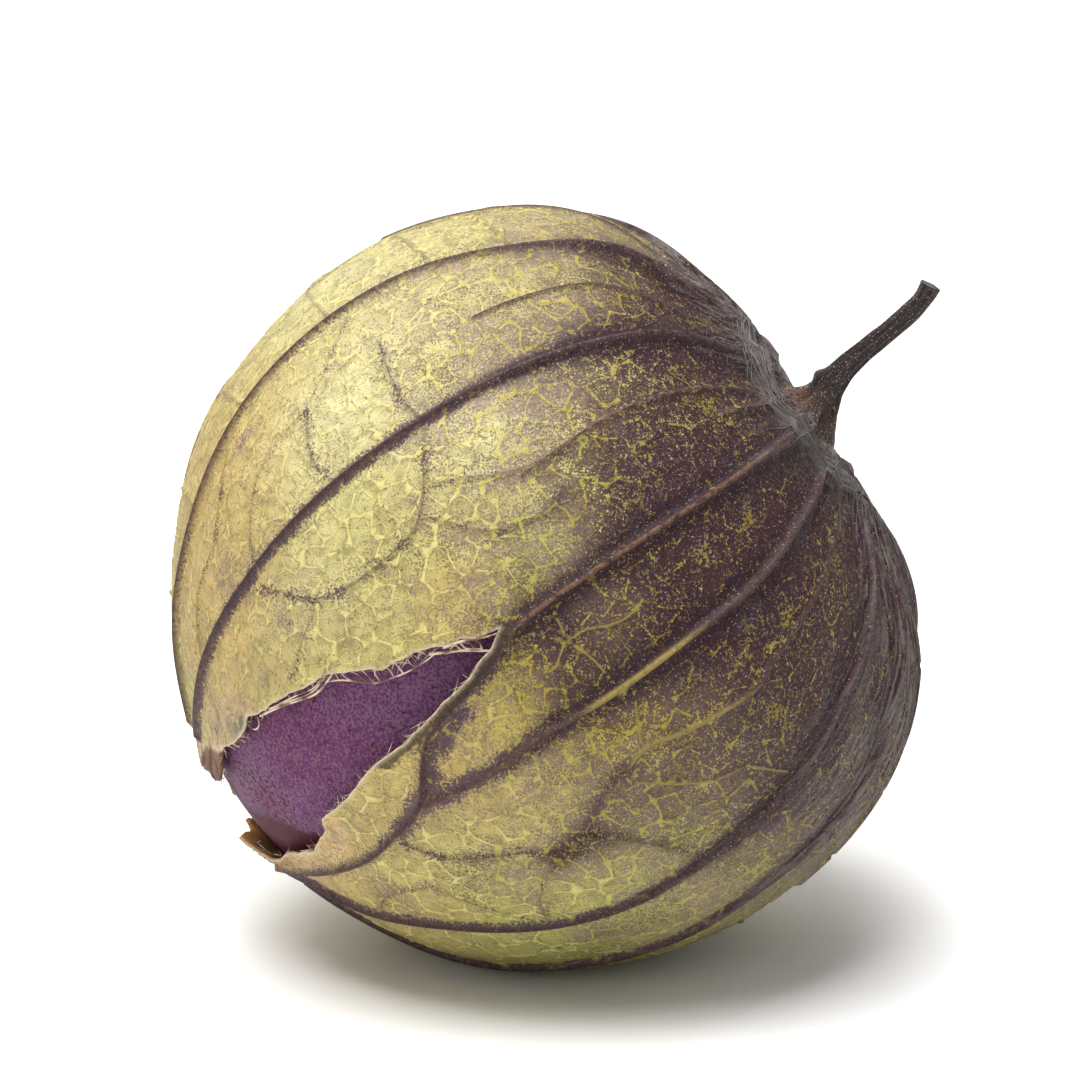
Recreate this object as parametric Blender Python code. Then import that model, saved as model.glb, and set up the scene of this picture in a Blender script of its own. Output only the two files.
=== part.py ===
"""A purple tomatillo in its papery husk, as picked, lying on one small flat spot.

Three solids: the fruit, the husk that grew round it and has torn open, and the stem.
The origin is the middle of the flat spot, +Z is up, and the fruit's axis leans in the
XZ plane, with the stem towards +X and up.

Places on the husk are given by two angles round the fruit's axis. PSI is measured from
the stem (0 degrees) to the blossom end (180 degrees). LAM goes round the axis from the
side that faces -Y, and grows downwards on that side.
"""

import math

import bmesh
import bpy
import numpy as np
from mathutils import Vector
from mathutils.geometry import delaunay_2d_cdt

MM = 0.001

# The whole object, in millimetres.
AXIS_TILT = math.radians(34.5)
CENTRE_HEIGHT = 24.75
HUSK_STEM_SIDE = 21.6
HUSK_BLOSSOM_SIDE = 25.4
HUSK_EQUATOR = 25.3
HUSK_WALL = 0.7
STEM_SIDE_SQUARENESS = 2.4
BEAK_HEIGHT = 0.8
BEAK_WIDTH = 16.0
CROWN_DEPTH = 1.9
CROWN_WIDTH = 15.0

# The husk's openings, in degrees of PSI and LAM.
CROWN_HOLE_PSI = 3.8
MOUTH_PSI = 170.0
MOUTH_LOBES = 5
MOUTH_LOBE_REACH = 2.2
LOWER_LIP_LAM = 50.0
SEAM = -166.0
TURN = 360.0
TEAR_UPPER = [(156, -32), (151, -27), (145.5, -24), (137, -24.2), (131, -23), (128, -22.4),
              (124, -21), (119, -20.8), (116, -19), (112, -17.8), (108, -15.4), (102, -14.7),
              (98, -12.9), (96.8, -13.7), (94.6, -12.2)]
TEAR_APEX = (91.2, -11.9)
TEAR_LOWER = [(94, -10.2), (96.4, -9.6), (99, -8.4), (103.5, -7.5), (108, -6.5), (113, -5.2),
              (120, -4.4), (125, -2.2), (128.6, -1), (133, 0.4), (135.6, 1.2), (137, 4.3),
              (140, 6.5), (144, 9.9), (149, 11.2), (152, 11.8), (157, 17), (163, 25)]
TEAR_UPPER_LAM = -55.0
TEAR_LOWER_LAM = 38.0

# The ten main ribs from the stem to the mouth, and the lesser ones between them.
MAIN_RIBS = [
    [(9, -79), (40, -77), (56, -73), (78, -74), (98, -75), (119, -71.5), (140, -69), (164, -68)],
    [(9, -47), (36, -46.6), (55, -45), (85, -44.5), (107, -44), (138, -44.6), (153, -47), (163, -52)],
    [(9, -13), (43, -10.5), (69, -11.3), (87, -11.3), (93, -9.6), (99, -7.2), (105, -5.7),
     (110, -3.8), (114, 0.9), (117, 5.6), (126, 9.4), (133, 13.4), (147, 18.5), (161, 28)],
    [(12, 9), (41, 5), (57, 6.5), (66, 5.3), (88, 5), (96, 4.2), (103, 5.7), (117, 5.6)],
    [(9, 36), (35, 36), (54, 36), (65, 37.7), (80, 39.2), (97, 40.2), (107, 39.5), (120, 38),
     (132, 35), (146, 35), (155, 33), (163, 40)],
    [(9, 60), (35, 56), (53, 54.5), (60, 57), (77, 57.5), (91, 57), (120, 60), (150, 64), (163, 66)],
    [(9, 100), (60, 108), (124, 112), (164, 108)],
    [(9, 144), (60, 148), (110, 145), (164, 148)],
    [(9, SEAM), (164, SEAM)],
    [(9, -125), (60, -121), (110, -118), (164, -121)],
]
SEAM_RIB = 8
LESSER_RIBS = [
    [(26, -62), (36, -60), (47, -58.5), (52, -60.5), (61, -59), (72, -57)],
    [(30, -30), (44, -31.5), (59, -31), (67, -30), (77, -28.6)],
    [(30, 21), (43, 18.5), (62, 18), (67, 19.5), (74, 17.5), (80, 16), (84, 14.2), (88, 16)],
    [(30, 80), (55, 82), (84, 80)],
    [(30, 123), (60, 127), (80, 125)],
    [(30, 171), (80, 168)],
    [(30, -146), (55, -142), (76, -144)],
    [(30, -101), (60, -97), (82, -99)],
]

# The raised net. These veins are placed one by one; the others follow a rule.
PLACED_VEINS = [
    [(85, -44.3), (87.6, -38.7), (92.3, -30.7), (99, -29.2), (106, -29.4)],
    [(70.4, -29), (78, -29.7), (84, -32.9), (89.1, -35)],
    [(73.6, -23.4), (78.1, -22.1), (85, -23.7), (91.5, -31)],
    [(82, 5.6), (83.8, -3.8), (83.1, -11)],
    [(83.8, -3.8), (81, -3.9), (73.4, -2.3)],
    [(80.4, 6), (84.7, 14.4)],
    [(88, 16), (93.3, 17), (99, 22)],
    [(74.7, 28.2), (80.1, 26.5), (87.9, 19.2)],
    [(74.7, 28.2), (70, 37.6)],
    [(104, 23.3), (108.6, 19.7), (119.8, 16.9), (126, 10.5)],
    [(104, 23.3), (99, 22), (92, 30), (88, 39)],
    [(104, 23.3), (112, 30), (114, 38.5)],
    [(126, 22.4), (121, 29.6), (114, 38.5)],
    [(126, 22.4), (136, 24), (142, 34.5)],
    [(100, -59), (103, -50), (101, -44.3)],
    [(100, -59), (94, -64), (88, -74)],
    [(100, -59), (110, -58), (117, -52), (121, -44.5)],
    [(86, -61), (86.8, -49), (85, -44.5)],
    [(106, -29.4), (113, -31), (118, -38), (126, -44)],
    [(113, -31), (120, -27), (124, -24)],
    [(126, -57), (120, -63), (114, -72)],
    [(126, -57), (136, -56), (144, -46)],
]
RULED_PANELS = [(57, 108), (111, 146), (147, 194), (-166, -122), (-118, -75)]
VEIN_ROWS = [50, 66, 82, 98, 114, 130, 146]
VEIN_SEED = 11
VEIN_NODE_SPREAD = (3, 4)
VEIN_CLIMB_LEFT = (4, 8)
VEIN_CLIMB_RIGHT = (2, 7)
VEIN_LINKED_SHARE = 0.7

# Heights and half widths of what stands up on the husk, and the PSI where ribs reach full height.
MAIN_RIB_HEIGHT = 0.5
MAIN_RIB_HALF_WIDTH = 0.55
LESSER_RIB_HEIGHT = 0.3
LESSER_RIB_HALF_WIDTH = 0.45
VEIN_HEIGHT = 0.3
VEIN_HALF_WIDTH = 0.42
RIB_RISE = (6, 13)

# The slow shape of the paper. Pairs are the PSI where a form starts or ends.
PLEAT_DEPTH = 0.5
PLEAT_START = (8, 16)
PLEAT_END = (30, 62)
RIB_FOOT_WIDTH = 1.2
PANEL_BULGE = 0.2
BULGE_START = (50, 80)
BULGE_END = (140, 160)
BULGE_FOOT_WIDTH = 3.0
PAPER_WAVE = 0.12
WAVE_START = (30, 60)
WAVES_ROUND = 4
WAVE_TWIST = 14
WAVE_LENGTH = 9
TEAR_LIFT = 0.25
TEAR_LIFT_REACH = 1.3
LIP_FLARE = 0.7
LIP_FLARE_REACH = 1.6
UPPER_LIP_SHARE = 0.35
LOWER_LIP_FOCUS = 4
FLAT_EDGE = (13, 22)
FLAT_SEARCH = (2.0, 10.0)

# Mesh fineness.
OUTER_SPACING = 2.15
INNER_SPACING = 3.4
RIM_SPACING = 1.15
CROWDING = 0.27
EDGE_CLEARANCE = 0.35
MERGE_WITHIN = 0.006
POINT_SEED = 5
POINT_NOISE = 0.12
POINT_ROOM = 0.58
ROW_SPACING = 0.866
OUTER_FLAT_SIDES = 20
INNER_FLAT_SIDES = 14
BLOCKS = 12
FAR_AWAY = 50

# The fruit.
FRUIT_EQUATOR = 23.1
FRUIT_BLOSSOM_SIDE = 23.6
FRUIT_STEM_SIDE = 20.5
FRUIT_SHIFT = -0.8
FRUIT_DIMPLE = 1.3
FRUIT_DIMPLE_WIDTH = 14.0
FRUIT_SIDES = 44
FRUIT_ROWS = 30

# The stem: distance along it and radius, from the foot on the husk to the cut end.
STEM_PATH = [(17.1, 12.0), (17.85, 13.0), (18.5, 14.0), (19.3, 15.0), (20.5, 16.05), (21.8, 17.2),
             (23.1, 18.4), (24.1, 19.4), (24.95, 20.35), (25.25, 20.75)]
STEM_RADII = [(0, 2.25), (0.35, 2.1), (0.8, 1.6), (1.5, 1.3), (2.6, 1.02), (4.0, 0.86), (6.0, 0.76),
              (9.0, 0.74), (11.4, 0.78), (12.4, 0.9), (12.9, 0.88)]
FOOT_AXIS_PLACE = 20.34
FOOT_UNDERSIDE_PLACE = 20.14
PEG_RADIUS = 0.95
PEG_END_PLACE = 18.8
FOOT_BEND = 1.6
CUT_END_BULGE = 0.12
STEM_SIDES = 15
STEM_RINGS = 30
RING_CROWDING = 1.25
STEM_RIDGES = 5
RIDGE_TWIST = 0.12
RIDGE_SHARE = 0.1
NUB_PLACE = 2.9
NUB_HEIGHT = 0.4
NUB_WIDTH = 0.45

AXIS = Vector((math.cos(AXIS_TILT), 0, math.sin(AXIS_TILT)))
SIDE = Vector((0, -1, 0))
UNDER = Vector((math.sin(AXIS_TILT), 0, -math.cos(AXIS_TILT)))
CENTRE = Vector((0, 0, CENTRE_HEIGHT))

# Plain colour and roughness of each piece.
HUSK_FINISH = ((0.50, 0.46, 0.20, 1), 0.62)
FRUIT_FINISH = ((0.16, 0.07, 0.20, 1), 0.35)
STEM_FINISH = ((0.075, 0.055, 0.045, 1), 0.8)


def clear_scene():
    for item in list(bpy.data.objects):
        bpy.data.objects.remove(item, do_unlink=True)


def smooth_step(low, high, value):
    t = np.clip((value - low) / (high - low), 0, 1)
    return t * t * (3 - 2 * t)


def to_plane(psi, lam):
    """A place on the husk to a flat map on which angles are kept."""
    return np.radians(lam), np.log(np.tan(np.radians(psi) / 2))


def psi_of(y):
    return np.degrees(2 * np.arctan(np.exp(y)))


def girth_radius(y):
    """Millimetres of husk to one radian of the map."""
    psi = np.radians(psi_of(y))
    return body_radius(psi) * np.sin(psi)


def body_radius(psi):
    """The plain husk, turned about its axis: its radius from the body's centre."""
    along, across = np.cos(psi), np.sin(psi)
    end = np.where(along > 0, HUSK_STEM_SIDE, HUSK_BLOSSOM_SIDE)
    power = np.where(along > 0, STEM_SIDE_SQUARENESS, 2.0)
    radius = ((np.abs(along) / end) ** power + (np.abs(across) / HUSK_EQUATOR) ** power) ** (-1 / power)
    beak = BEAK_HEIGHT * np.exp(-((180 - np.degrees(psi)) / BEAK_WIDTH) ** 2)
    crown = CROWN_DEPTH * np.exp(-(np.degrees(psi) / CROWN_WIDTH) ** 2)
    return radius + beak - crown


def round_corners(points, rounds=2):
    """Cut the corners of a path, which keeps its two ends."""
    for _ in range(rounds):
        a, b = points[:-1], points[1:]
        cut = np.stack([0.75 * a + 0.25 * b, 0.25 * a + 0.75 * b], 1).reshape(-1, 2)
        points = np.vstack([points[:1], cut[1:-1], points[-1:]])
    return points


def spread(points, spacing):
    """Points at even steps of the given millimetres along a path on the map."""
    middle = (points[:-1, 1] + points[1:, 1]) / 2
    steps = np.hypot(*(points[1:] - points[:-1]).T) / local_step(middle, spacing)
    run = np.concatenate([[0], np.cumsum(steps)])
    count = max(1, round(run[-1]))
    places = np.linspace(0, run[-1], count + 1)
    return np.column_stack([np.interp(places, run, points[:, k]) for k in (0, 1)])


def local_step(y, spacing):
    """The spacing as a length on the map, closer where the husk is narrow."""
    return np.minimum(spacing / girth_radius(y), CROWDING)


def on_map(places):
    x, y = to_plane(*np.array(places, float).T)
    return np.column_stack([x, y])


def path_of(places, spacing):
    dense = round_corners(on_map(places))
    return spread(dense, spacing)


def beside(path, distance):
    """The path moved sideways by some millimetres."""
    along = np.gradient(path, axis=0)
    along /= np.hypot(along[:, 0], along[:, 1])[:, None]
    across = np.column_stack([-along[:, 1], along[:, 0]])
    return path + across * (distance / girth_radius(path[:, 1]))[:, None]


def segments(path, height=0.0, half_width=1.0):
    """Rows of x0, y0, x1, y1, height, half width."""
    extra = np.tile([height, half_width], (len(path) - 1, 1))
    return np.hstack([path[:-1], path[1:], extra])


def distances(points, rows):
    """Millimetres from each point on the map to each segment."""
    a, b = rows[:, 0:2], rows[:, 2:4]
    along = b - a
    length = np.maximum((along ** 2).sum(1), 1e-12)
    t = np.clip(((points[:, None, :] - a) * along).sum(2) / length, 0, 1)
    nearest = a + t[:, :, None] * along
    flat = np.sqrt(((points[:, None, :] - nearest) ** 2).sum(2))
    return flat * girth_radius(points[:, 1])[:, None]


def mouth_psi(lam):
    """The mouth's edge, in five blunt lobes."""
    return MOUTH_PSI + MOUTH_LOBE_REACH * np.cos(np.radians(MOUTH_LOBES * (lam - 30)))


def ring_path(psi_at, lam_from, lam_to):
    lam = np.linspace(lam_from, lam_to, 60)
    dense = np.column_stack(to_plane(psi_at(lam), lam))
    return spread(dense, RIM_SPACING)


def husk_outline():
    """The husk laid flat: crown hole, seam, mouth, tear, mouth and seam."""
    end = SEAM + TURN
    crown = ring_path(lambda lam: CROWN_HOLE_PSI + 0 * lam, SEAM, end)
    seam = path_of([(CROWN_HOLE_PSI, end), (mouth_psi(end), end)], OUTER_SPACING)
    lower_end = (mouth_psi(TEAR_LOWER_LAM), TEAR_LOWER_LAM)
    upper_end = (mouth_psi(TEAR_UPPER_LAM), TEAR_UPPER_LAM)
    mouth_right = ring_path(mouth_psi, end, TEAR_LOWER_LAM)
    tear_low = spread(on_map([lower_end] + TEAR_LOWER[::-1] + [TEAR_APEX]), RIM_SPACING)
    tear_up = spread(on_map([TEAR_APEX] + TEAR_UPPER[::-1] + [upper_end]), RIM_SPACING)
    mouth_left = ring_path(mouth_psi, TEAR_UPPER_LAM, SEAM)
    back = seam[::-1] - [math.radians(TURN), 0]
    runs = [crown, seam, mouth_right, tear_low, tear_up, mouth_left, back]
    points = np.vstack([run[:-1] for run in runs])
    is_rim = np.concatenate([np.full(len(run) - 1, run is not seam and run is not back) for run in runs])
    tear = turned_copies(np.vstack([segments(tear_low), segments(tear_up)]))
    mouth = turned_copies(np.vstack([segments(mouth_right), segments(mouth_left)]))
    return points, is_rim, tear, mouth


def inside(points, outline):
    """Whether each point of the map is inside the outline."""
    a, b = outline, np.roll(outline, -1, axis=0)
    above = (a[:, 1] > points[:, None, 1]) != (b[:, 1] > points[:, None, 1])
    rise = np.where(np.abs(b[:, 1] - a[:, 1]) < 1e-12, 1e-12, b[:, 1] - a[:, 1])
    cross = a[:, 0] + (points[:, None, 1] - a[:, 1]) * (b[:, 0] - a[:, 0]) / rise
    return ((above & (points[:, None, 0] < cross)).sum(1) % 2) == 1


def clear_runs(path, outline):
    """The stretches of a path that lie well inside the outline."""
    closed = np.vstack([outline, outline[:1]])
    keep = inside(path, outline) & (distances(path, segments(closed)).min(1) > EDGE_CLEARANCE)
    runs, run = [], []
    for point, good in zip(path, keep):
        if good:
            run.append(point)
        elif run:
            runs.append(np.array(run))
            run = []
    runs.append(np.array(run))
    return [item for item in runs if len(item) > 1]


def ruled_veins():
    """Veins that link neighbouring ribs and each other, row by row, in a panel."""
    draw = np.random.default_rng(VEIN_SEED)
    veins = []
    along, aside = VEIN_NODE_SPREAD
    for left, right in RULED_PANELS:
        middle = (left + right) / 2
        nodes = [(psi + draw.uniform(-along, along), middle + draw.uniform(-aside, aside))
                 for psi in VEIN_ROWS]
        for node, after in zip(nodes, nodes[1:] + nodes[-1:]):
            veins.append([(node[0] - draw.uniform(*VEIN_CLIMB_LEFT), left), node])
            veins.append([node, (node[0] - draw.uniform(*VEIN_CLIMB_RIGHT), right)])
            if after is not node and draw.random() < VEIN_LINKED_SHARE:
                veins.append([node, after])
    return veins


def husk_lines():
    """Every rib and vein as a path with its height and half width."""
    lines = [(path_of(rib, OUTER_SPACING), MAIN_RIB_HEIGHT, MAIN_RIB_HALF_WIDTH) for rib in MAIN_RIBS]
    lines += [(path_of(rib, OUTER_SPACING), LESSER_RIB_HEIGHT, LESSER_RIB_HALF_WIDTH)
              for rib in LESSER_RIBS]
    lines += [(path_of(vein, OUTER_SPACING), VEIN_HEIGHT, VEIN_HALF_WIDTH)
              for vein in PLACED_VEINS + ruled_veins()]
    return lines


def turned_copies(rows):
    """The segments, with copies one turn to each side of the map."""
    steps = (-2 * math.pi, 0, 2 * math.pi)
    return np.vstack([rows + np.array([step, 0, step, 0, 0, 0]) for step in steps])


def relief_table(lines):
    return turned_copies(np.vstack([segments(path, height, half) for path, height, half in lines]))


def near_table(points, rows, reach):
    """Smallest distance to the rows, worked out in blocks to save memory."""
    out = [distances(block, rows).min(1) for block in np.array_split(points, BLOCKS)]
    return np.minimum(np.concatenate(out), reach)


def raised(points, rows):
    """Height of the ribs and veins at each point of the map."""
    out = []
    for block in np.array_split(points, BLOCKS):
        share = np.clip(1 - distances(block, rows) / rows[:, 5], 0, 1)
        out.append((share * rows[:, 4]).max(1))
    psi = psi_of(points[:, 1])
    return np.concatenate(out) * smooth_step(*RIB_RISE, psi)


def panel_shape(points, ribs, tear, mouth):
    """The slow shape of the paper between its ribs and towards its torn edges."""
    psi, lam = psi_of(points[:, 1]), points[:, 0]
    rib_gap = near_table(points, ribs, FAR_AWAY)
    pleats = PLEAT_DEPTH * smooth_step(*PLEAT_START, psi) * (1 - smooth_step(*PLEAT_END, psi))
    bulge = PANEL_BULGE * smooth_step(*BULGE_START, psi) * (1 - smooth_step(*BULGE_END, psi))
    wave = PAPER_WAVE * np.sin(WAVES_ROUND * lam + psi / WAVE_TWIST) * np.sin(psi / WAVE_LENGTH)
    wave = wave * smooth_step(*WAVE_START, psi)
    lift = TEAR_LIFT * np.exp(-(near_table(points, tear, FAR_AWAY) / TEAR_LIFT_REACH) ** 2)
    lower = np.exp(LOWER_LIP_FOCUS * (np.cos(lam - math.radians(LOWER_LIP_LAM)) - 1))
    share = UPPER_LIP_SHARE + (1 - UPPER_LIP_SHARE) * lower
    flare = LIP_FLARE * share * np.exp(-(near_table(points, mouth, FAR_AWAY) / LIP_FLARE_REACH) ** 2)
    sink = 1 - np.exp(-(rib_gap / RIB_FOOT_WIDTH) ** 2)
    swell = 1 - np.exp(-(rib_gap / BULGE_FOOT_WIDTH) ** 2)
    return -pleats * sink + bulge * swell + wave + lift + flare


def away_from_flat(psi, lam):
    """Zero on the flat spot, so that it stays flat, and one away from it."""
    direction = np.outer(np.cos(psi), AXIS) + np.outer(np.sin(psi) * np.cos(lam), SIDE)
    direction += np.outer(np.sin(psi) * np.sin(lam), UNDER)
    angle = np.degrees(np.arccos(np.clip(-direction[:, 2], -1, 1)))
    return smooth_step(*FLAT_EDGE, angle)


def place(points, offset, floor):
    """Points of the map, at the plain radius plus an offset, as places in millimetres."""
    psi, lam = np.radians(psi_of(points[:, 1])), points[:, 0]
    radius = body_radius(psi) + offset
    out = np.outer(radius * np.cos(psi), AXIS) + np.outer(radius * np.sin(psi) * np.cos(lam), SIDE)
    out += np.outer(radius * np.sin(psi) * np.sin(lam), UNDER)
    out[:, 2] = np.maximum(out[:, 2] + CENTRE_HEIGHT, floor)
    return out


def flat_ring(inset, floor, count):
    """The circle on the map where the husk, set in by inset, meets the height floor."""
    turn = np.linspace(0, 2 * math.pi, count, endpoint=False)
    low, high = (np.full(count, radius) for radius in FLAT_SEARCH)
    for _ in range(40):
        middle = (low + high) / 2
        drop = np.full(count, -CENTRE_HEIGHT)
        way = np.column_stack([middle * np.cos(turn), middle * np.sin(turn), drop])
        way /= np.linalg.norm(way, axis=1)[:, None]
        psi = np.arccos(way @ np.array(AXIS))
        height = CENTRE_HEIGHT + (body_radius(psi) - inset) * way[:, 2]
        low, high = np.where(height < floor, middle, low), np.where(height < floor, high, middle)
    lam = np.arctan2(way @ np.array(UNDER), way @ np.array(SIDE))
    return np.column_stack([lam, np.log(np.tan(psi / 2))])


def filling(outline, lines, spacing):
    """Loose points in staggered rows, clear of the outline and of the lines."""
    draw = np.random.default_rng(POINT_SEED)
    low, high = outline[:, 1].min(), outline[:, 1].max()
    rows, y, odd = [], low, 0
    while y < high:
        step = float(local_step(np.array([y]), spacing)[0])
        y += step * ROW_SPACING
        odd = 1 - odd
        count = max(8, round(2 * math.pi / step))
        x = math.radians(SEAM) + (np.arange(count) + 0.5 * odd) * 2 * math.pi / count
        rows.append(np.column_stack([x, np.full(count, y)]))
    points = np.vstack(rows)
    step = local_step(points[:, 1], spacing)
    points += draw.uniform(-POINT_NOISE, POINT_NOISE, points.shape) * step[:, None]
    points = points[inside(points, outline)]
    closed = np.vstack([outline, outline[:1]])
    fixed = np.vstack([segments(closed)] + [segments(line) for line in lines])
    gap = near_table(points, fixed, FAR_AWAY)
    room = local_step(points[:, 1], spacing) * girth_radius(points[:, 1])
    return points[gap > POINT_ROOM * room]


def triangulate(outline, lines, loose):
    """Triangles of the map inside the outline, with every line along their edges."""
    points = [outline]
    count = len(outline)
    edges = [(k, (k + 1) % count) for k in range(count)]
    for line, closed in lines:
        edges += [(count + k, count + k + 1) for k in range(len(line) - 1)]
        if closed:
            edges.append((count + len(line) - 1, count))
        points.append(line)
        count += len(line)
    points = np.vstack(points + [loose])
    given = [Vector(point) for point in points.tolist()]
    found, _, faces, origins, _, _ = delaunay_2d_cdt(given, edges, [], 0, MERGE_WITHIN)
    found = np.array([tuple(point) for point in found])
    faces = np.array(faces)
    faces = faces[inside(found[faces].mean(axis=1), outline)]
    rim = {}
    for index, sources in enumerate(origins):
        for source in sources:
            if source < len(outline):
                rim[source] = index
    return found, faces, rim


def outer_sheet(outline, tear, mouth):
    """The husk's outer face with its ribs, veins and pleats."""
    lines = husk_lines()
    table = relief_table(lines)
    ribs = relief_table(lines[:len(MAIN_RIBS)])
    flat = flat_ring(0, 0, OUTER_FLAT_SIDES)
    kept = [(flat, True)]
    for path, height, half in lines:
        kept += [(run, False) for run in clear_runs(path, outline)]
        for way in (-half, half):
            kept += [(run, False) for run in clear_runs(beside(path, way), outline)]
    for way in (-MAIN_RIB_HALF_WIDTH, MAIN_RIB_HALF_WIDTH):
        turned = beside(path_of(MAIN_RIBS[SEAM_RIB], OUTER_SPACING), way) + [math.radians(TURN), 0]
        kept += [(run, False) for run in clear_runs(turned, outline)]
    loose = filling(outline, [line for line, _ in kept], OUTER_SPACING)
    points, faces, rim = triangulate(outline, kept, loose)
    away = away_from_flat(np.radians(psi_of(points[:, 1])), points[:, 0])
    offset = (raised(points, table) + panel_shape(points, ribs, tear, mouth)) * away
    return place(points, offset, 0.0), faces, rim


def inner_sheet(outline, ribs, tear, mouth):
    """The husk's inner face, smooth and a wall's thickness inside the outer one."""
    flat = flat_ring(HUSK_WALL, HUSK_WALL, INNER_FLAT_SIDES)
    loose = filling(outline, [flat], INNER_SPACING)
    points, faces, rim = triangulate(outline, [(flat, True)], loose)
    away = away_from_flat(np.radians(psi_of(points[:, 1])), points[:, 0])
    offset = panel_shape(points, ribs, tear, mouth) * away - HUSK_WALL
    return place(points, offset, HUSK_WALL), faces, rim


def build_husk():
    outline, is_rim, tear, mouth = husk_outline()
    ribs = relief_table([(path_of(rib, OUTER_SPACING), 0, 1) for rib in MAIN_RIBS])
    outer, outer_faces, outer_rim = outer_sheet(outline, tear, mouth)
    inner, inner_faces, inner_rim = inner_sheet(outline, ribs, tear, mouth)
    mesh = bmesh.new()
    verts = [mesh.verts.new(Vector(p) * MM) for p in outer.tolist() + inner.tolist()]
    shift = len(outer)
    for a, b, c in outer_faces.tolist():
        mesh.faces.new((verts[a], verts[b], verts[c]))
    for a, b, c in inner_faces.tolist():
        mesh.faces.new((verts[shift + c], verts[shift + b], verts[shift + a]))
    for k in np.nonzero(is_rim)[0].tolist():
        after = (k + 1) % len(outline)
        a, b = verts[outer_rim[k]], verts[outer_rim[after]]
        c, d = verts[shift + inner_rim[after]], verts[shift + inner_rim[k]]
        mesh.faces.new((b, a, d))
        mesh.faces.new((b, d, c))
    bmesh.ops.remove_doubles(mesh, verts=mesh.verts, dist=1e-7)
    bmesh.ops.recalc_face_normals(mesh, faces=mesh.faces)
    return finish("husk", mesh, *HUSK_FINISH)


def loft(name, rings, low_tip, high_tip, look):
    """A closed solid through rings of points, with a fan at each end."""
    mesh = bmesh.new()
    loops = [[mesh.verts.new(Vector(p) * MM) for p in ring] for ring in rings]
    for lower, upper in zip(loops, loops[1:]):
        for k in range(len(lower)):
            after = (k + 1) % len(lower)
            mesh.faces.new((lower[k], lower[after], upper[after]))
            mesh.faces.new((lower[k], upper[after], upper[k]))
    for loop, tip in ((loops[0], low_tip), (loops[-1], high_tip)):
        point = mesh.verts.new(Vector(tip) * MM)
        for k in range(len(loop)):
            mesh.faces.new((loop[k], loop[(k + 1) % len(loop)], point))
    bmesh.ops.recalc_face_normals(mesh, faces=mesh.faces)
    return finish(name, mesh, *look)


def build_fruit():
    rings = []
    middle = CENTRE + AXIS * FRUIT_SHIFT
    for row in range(1, FRUIT_ROWS):
        angle = math.pi * row / FRUIT_ROWS
        end = FRUIT_STEM_SIDE if math.cos(angle) > 0 else FRUIT_BLOSSOM_SIDE
        dimple = FRUIT_DIMPLE * math.exp(-(math.degrees(angle) / FRUIT_DIMPLE_WIDTH) ** 2)
        along = end * math.cos(angle) - dimple
        across = FRUIT_EQUATOR * math.sin(angle)
        turns = [2 * math.pi * k / FRUIT_SIDES for k in range(FRUIT_SIDES)]
        ring = [middle + AXIS * along + (SIDE * math.cos(t) + UNDER * math.sin(t)) * across
                for t in turns]
        rings.append(ring)
    stem_tip = middle + AXIS * (FRUIT_STEM_SIDE - FRUIT_DIMPLE)
    blossom_tip = middle - AXIS * FRUIT_BLOSSOM_SIDE
    return loft("fruit", rings, stem_tip, blossom_tip, FRUIT_FINISH)


def stem_line():
    """Centres and directions of the rings, at even steps from the foot to the cut end."""
    foot = CENTRE + AXIS * FOOT_AXIS_PLACE
    knots = [foot] + [Vector((x, 0, z + CENTRE_HEIGHT)) for x, z in STEM_PATH]
    flat = round_corners(np.array([[p.x, p.z] for p in knots]))
    run = np.concatenate([[0], np.cumsum(np.hypot(*(flat[1:] - flat[:-1]).T))])
    places = run[-1] * np.linspace(0, 1, STEM_RINGS) ** RING_CROWDING
    x = np.interp(places, run, flat[:, 0])
    z = np.interp(places, run, flat[:, 1])
    ahead = np.column_stack([np.gradient(x, places), np.gradient(z, places)])
    ahead /= np.hypot(ahead[:, 0], ahead[:, 1])[:, None]
    ease = np.clip(places / FOOT_BEND, 0, 1)[:, None]
    ahead = (1 - ease) * np.array([AXIS.x, AXIS.z]) + ease * ahead
    ahead /= np.hypot(ahead[:, 0], ahead[:, 1])[:, None]
    return places, x, z, ahead


def stem_radius(place_along, angle):
    """The stem's radius, with its ridges and the nub on its upper left side."""
    lengths, radii = zip(*STEM_RADII)
    plain = float(np.interp(place_along, lengths, radii))
    ridge = RIDGE_SHARE * math.cos(STEM_RIDGES * angle + RIDGE_TWIST * place_along)
    side = max(0.0, math.cos(angle - math.pi / 2)) ** 3
    nub = NUB_HEIGHT * side * math.exp(-((place_along - NUB_PLACE) / NUB_WIDTH) ** 2)
    return plain * (1 + ridge) + nub


def build_stem():
    turns = [2 * math.pi * k / STEM_SIDES for k in range(STEM_SIDES)]
    rings = []
    for along in (PEG_END_PLACE, FOOT_UNDERSIDE_PLACE):
        middle = CENTRE + AXIS * along
        rings.append([middle + (SIDE * math.cos(t) - UNDER * math.sin(t)) * PEG_RADIUS for t in turns])
    places, x, z, ahead = stem_line()
    for k, along in enumerate(places.tolist()):
        middle = Vector((x[k], 0, z[k]))
        up = Vector((-ahead[k, 1], 0, ahead[k, 0]))
        rings.append([middle + (SIDE * math.cos(t) + up * math.sin(t)) * stem_radius(along, t)
                      for t in turns])
    low_tip = CENTRE + AXIS * PEG_END_PLACE
    end = Vector((ahead[-1, 0], 0, ahead[-1, 1])) * CUT_END_BULGE
    high_tip = Vector((x[-1], 0, z[-1])) + end
    return loft("stem", rings, low_tip, high_tip, STEM_FINISH)


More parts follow.
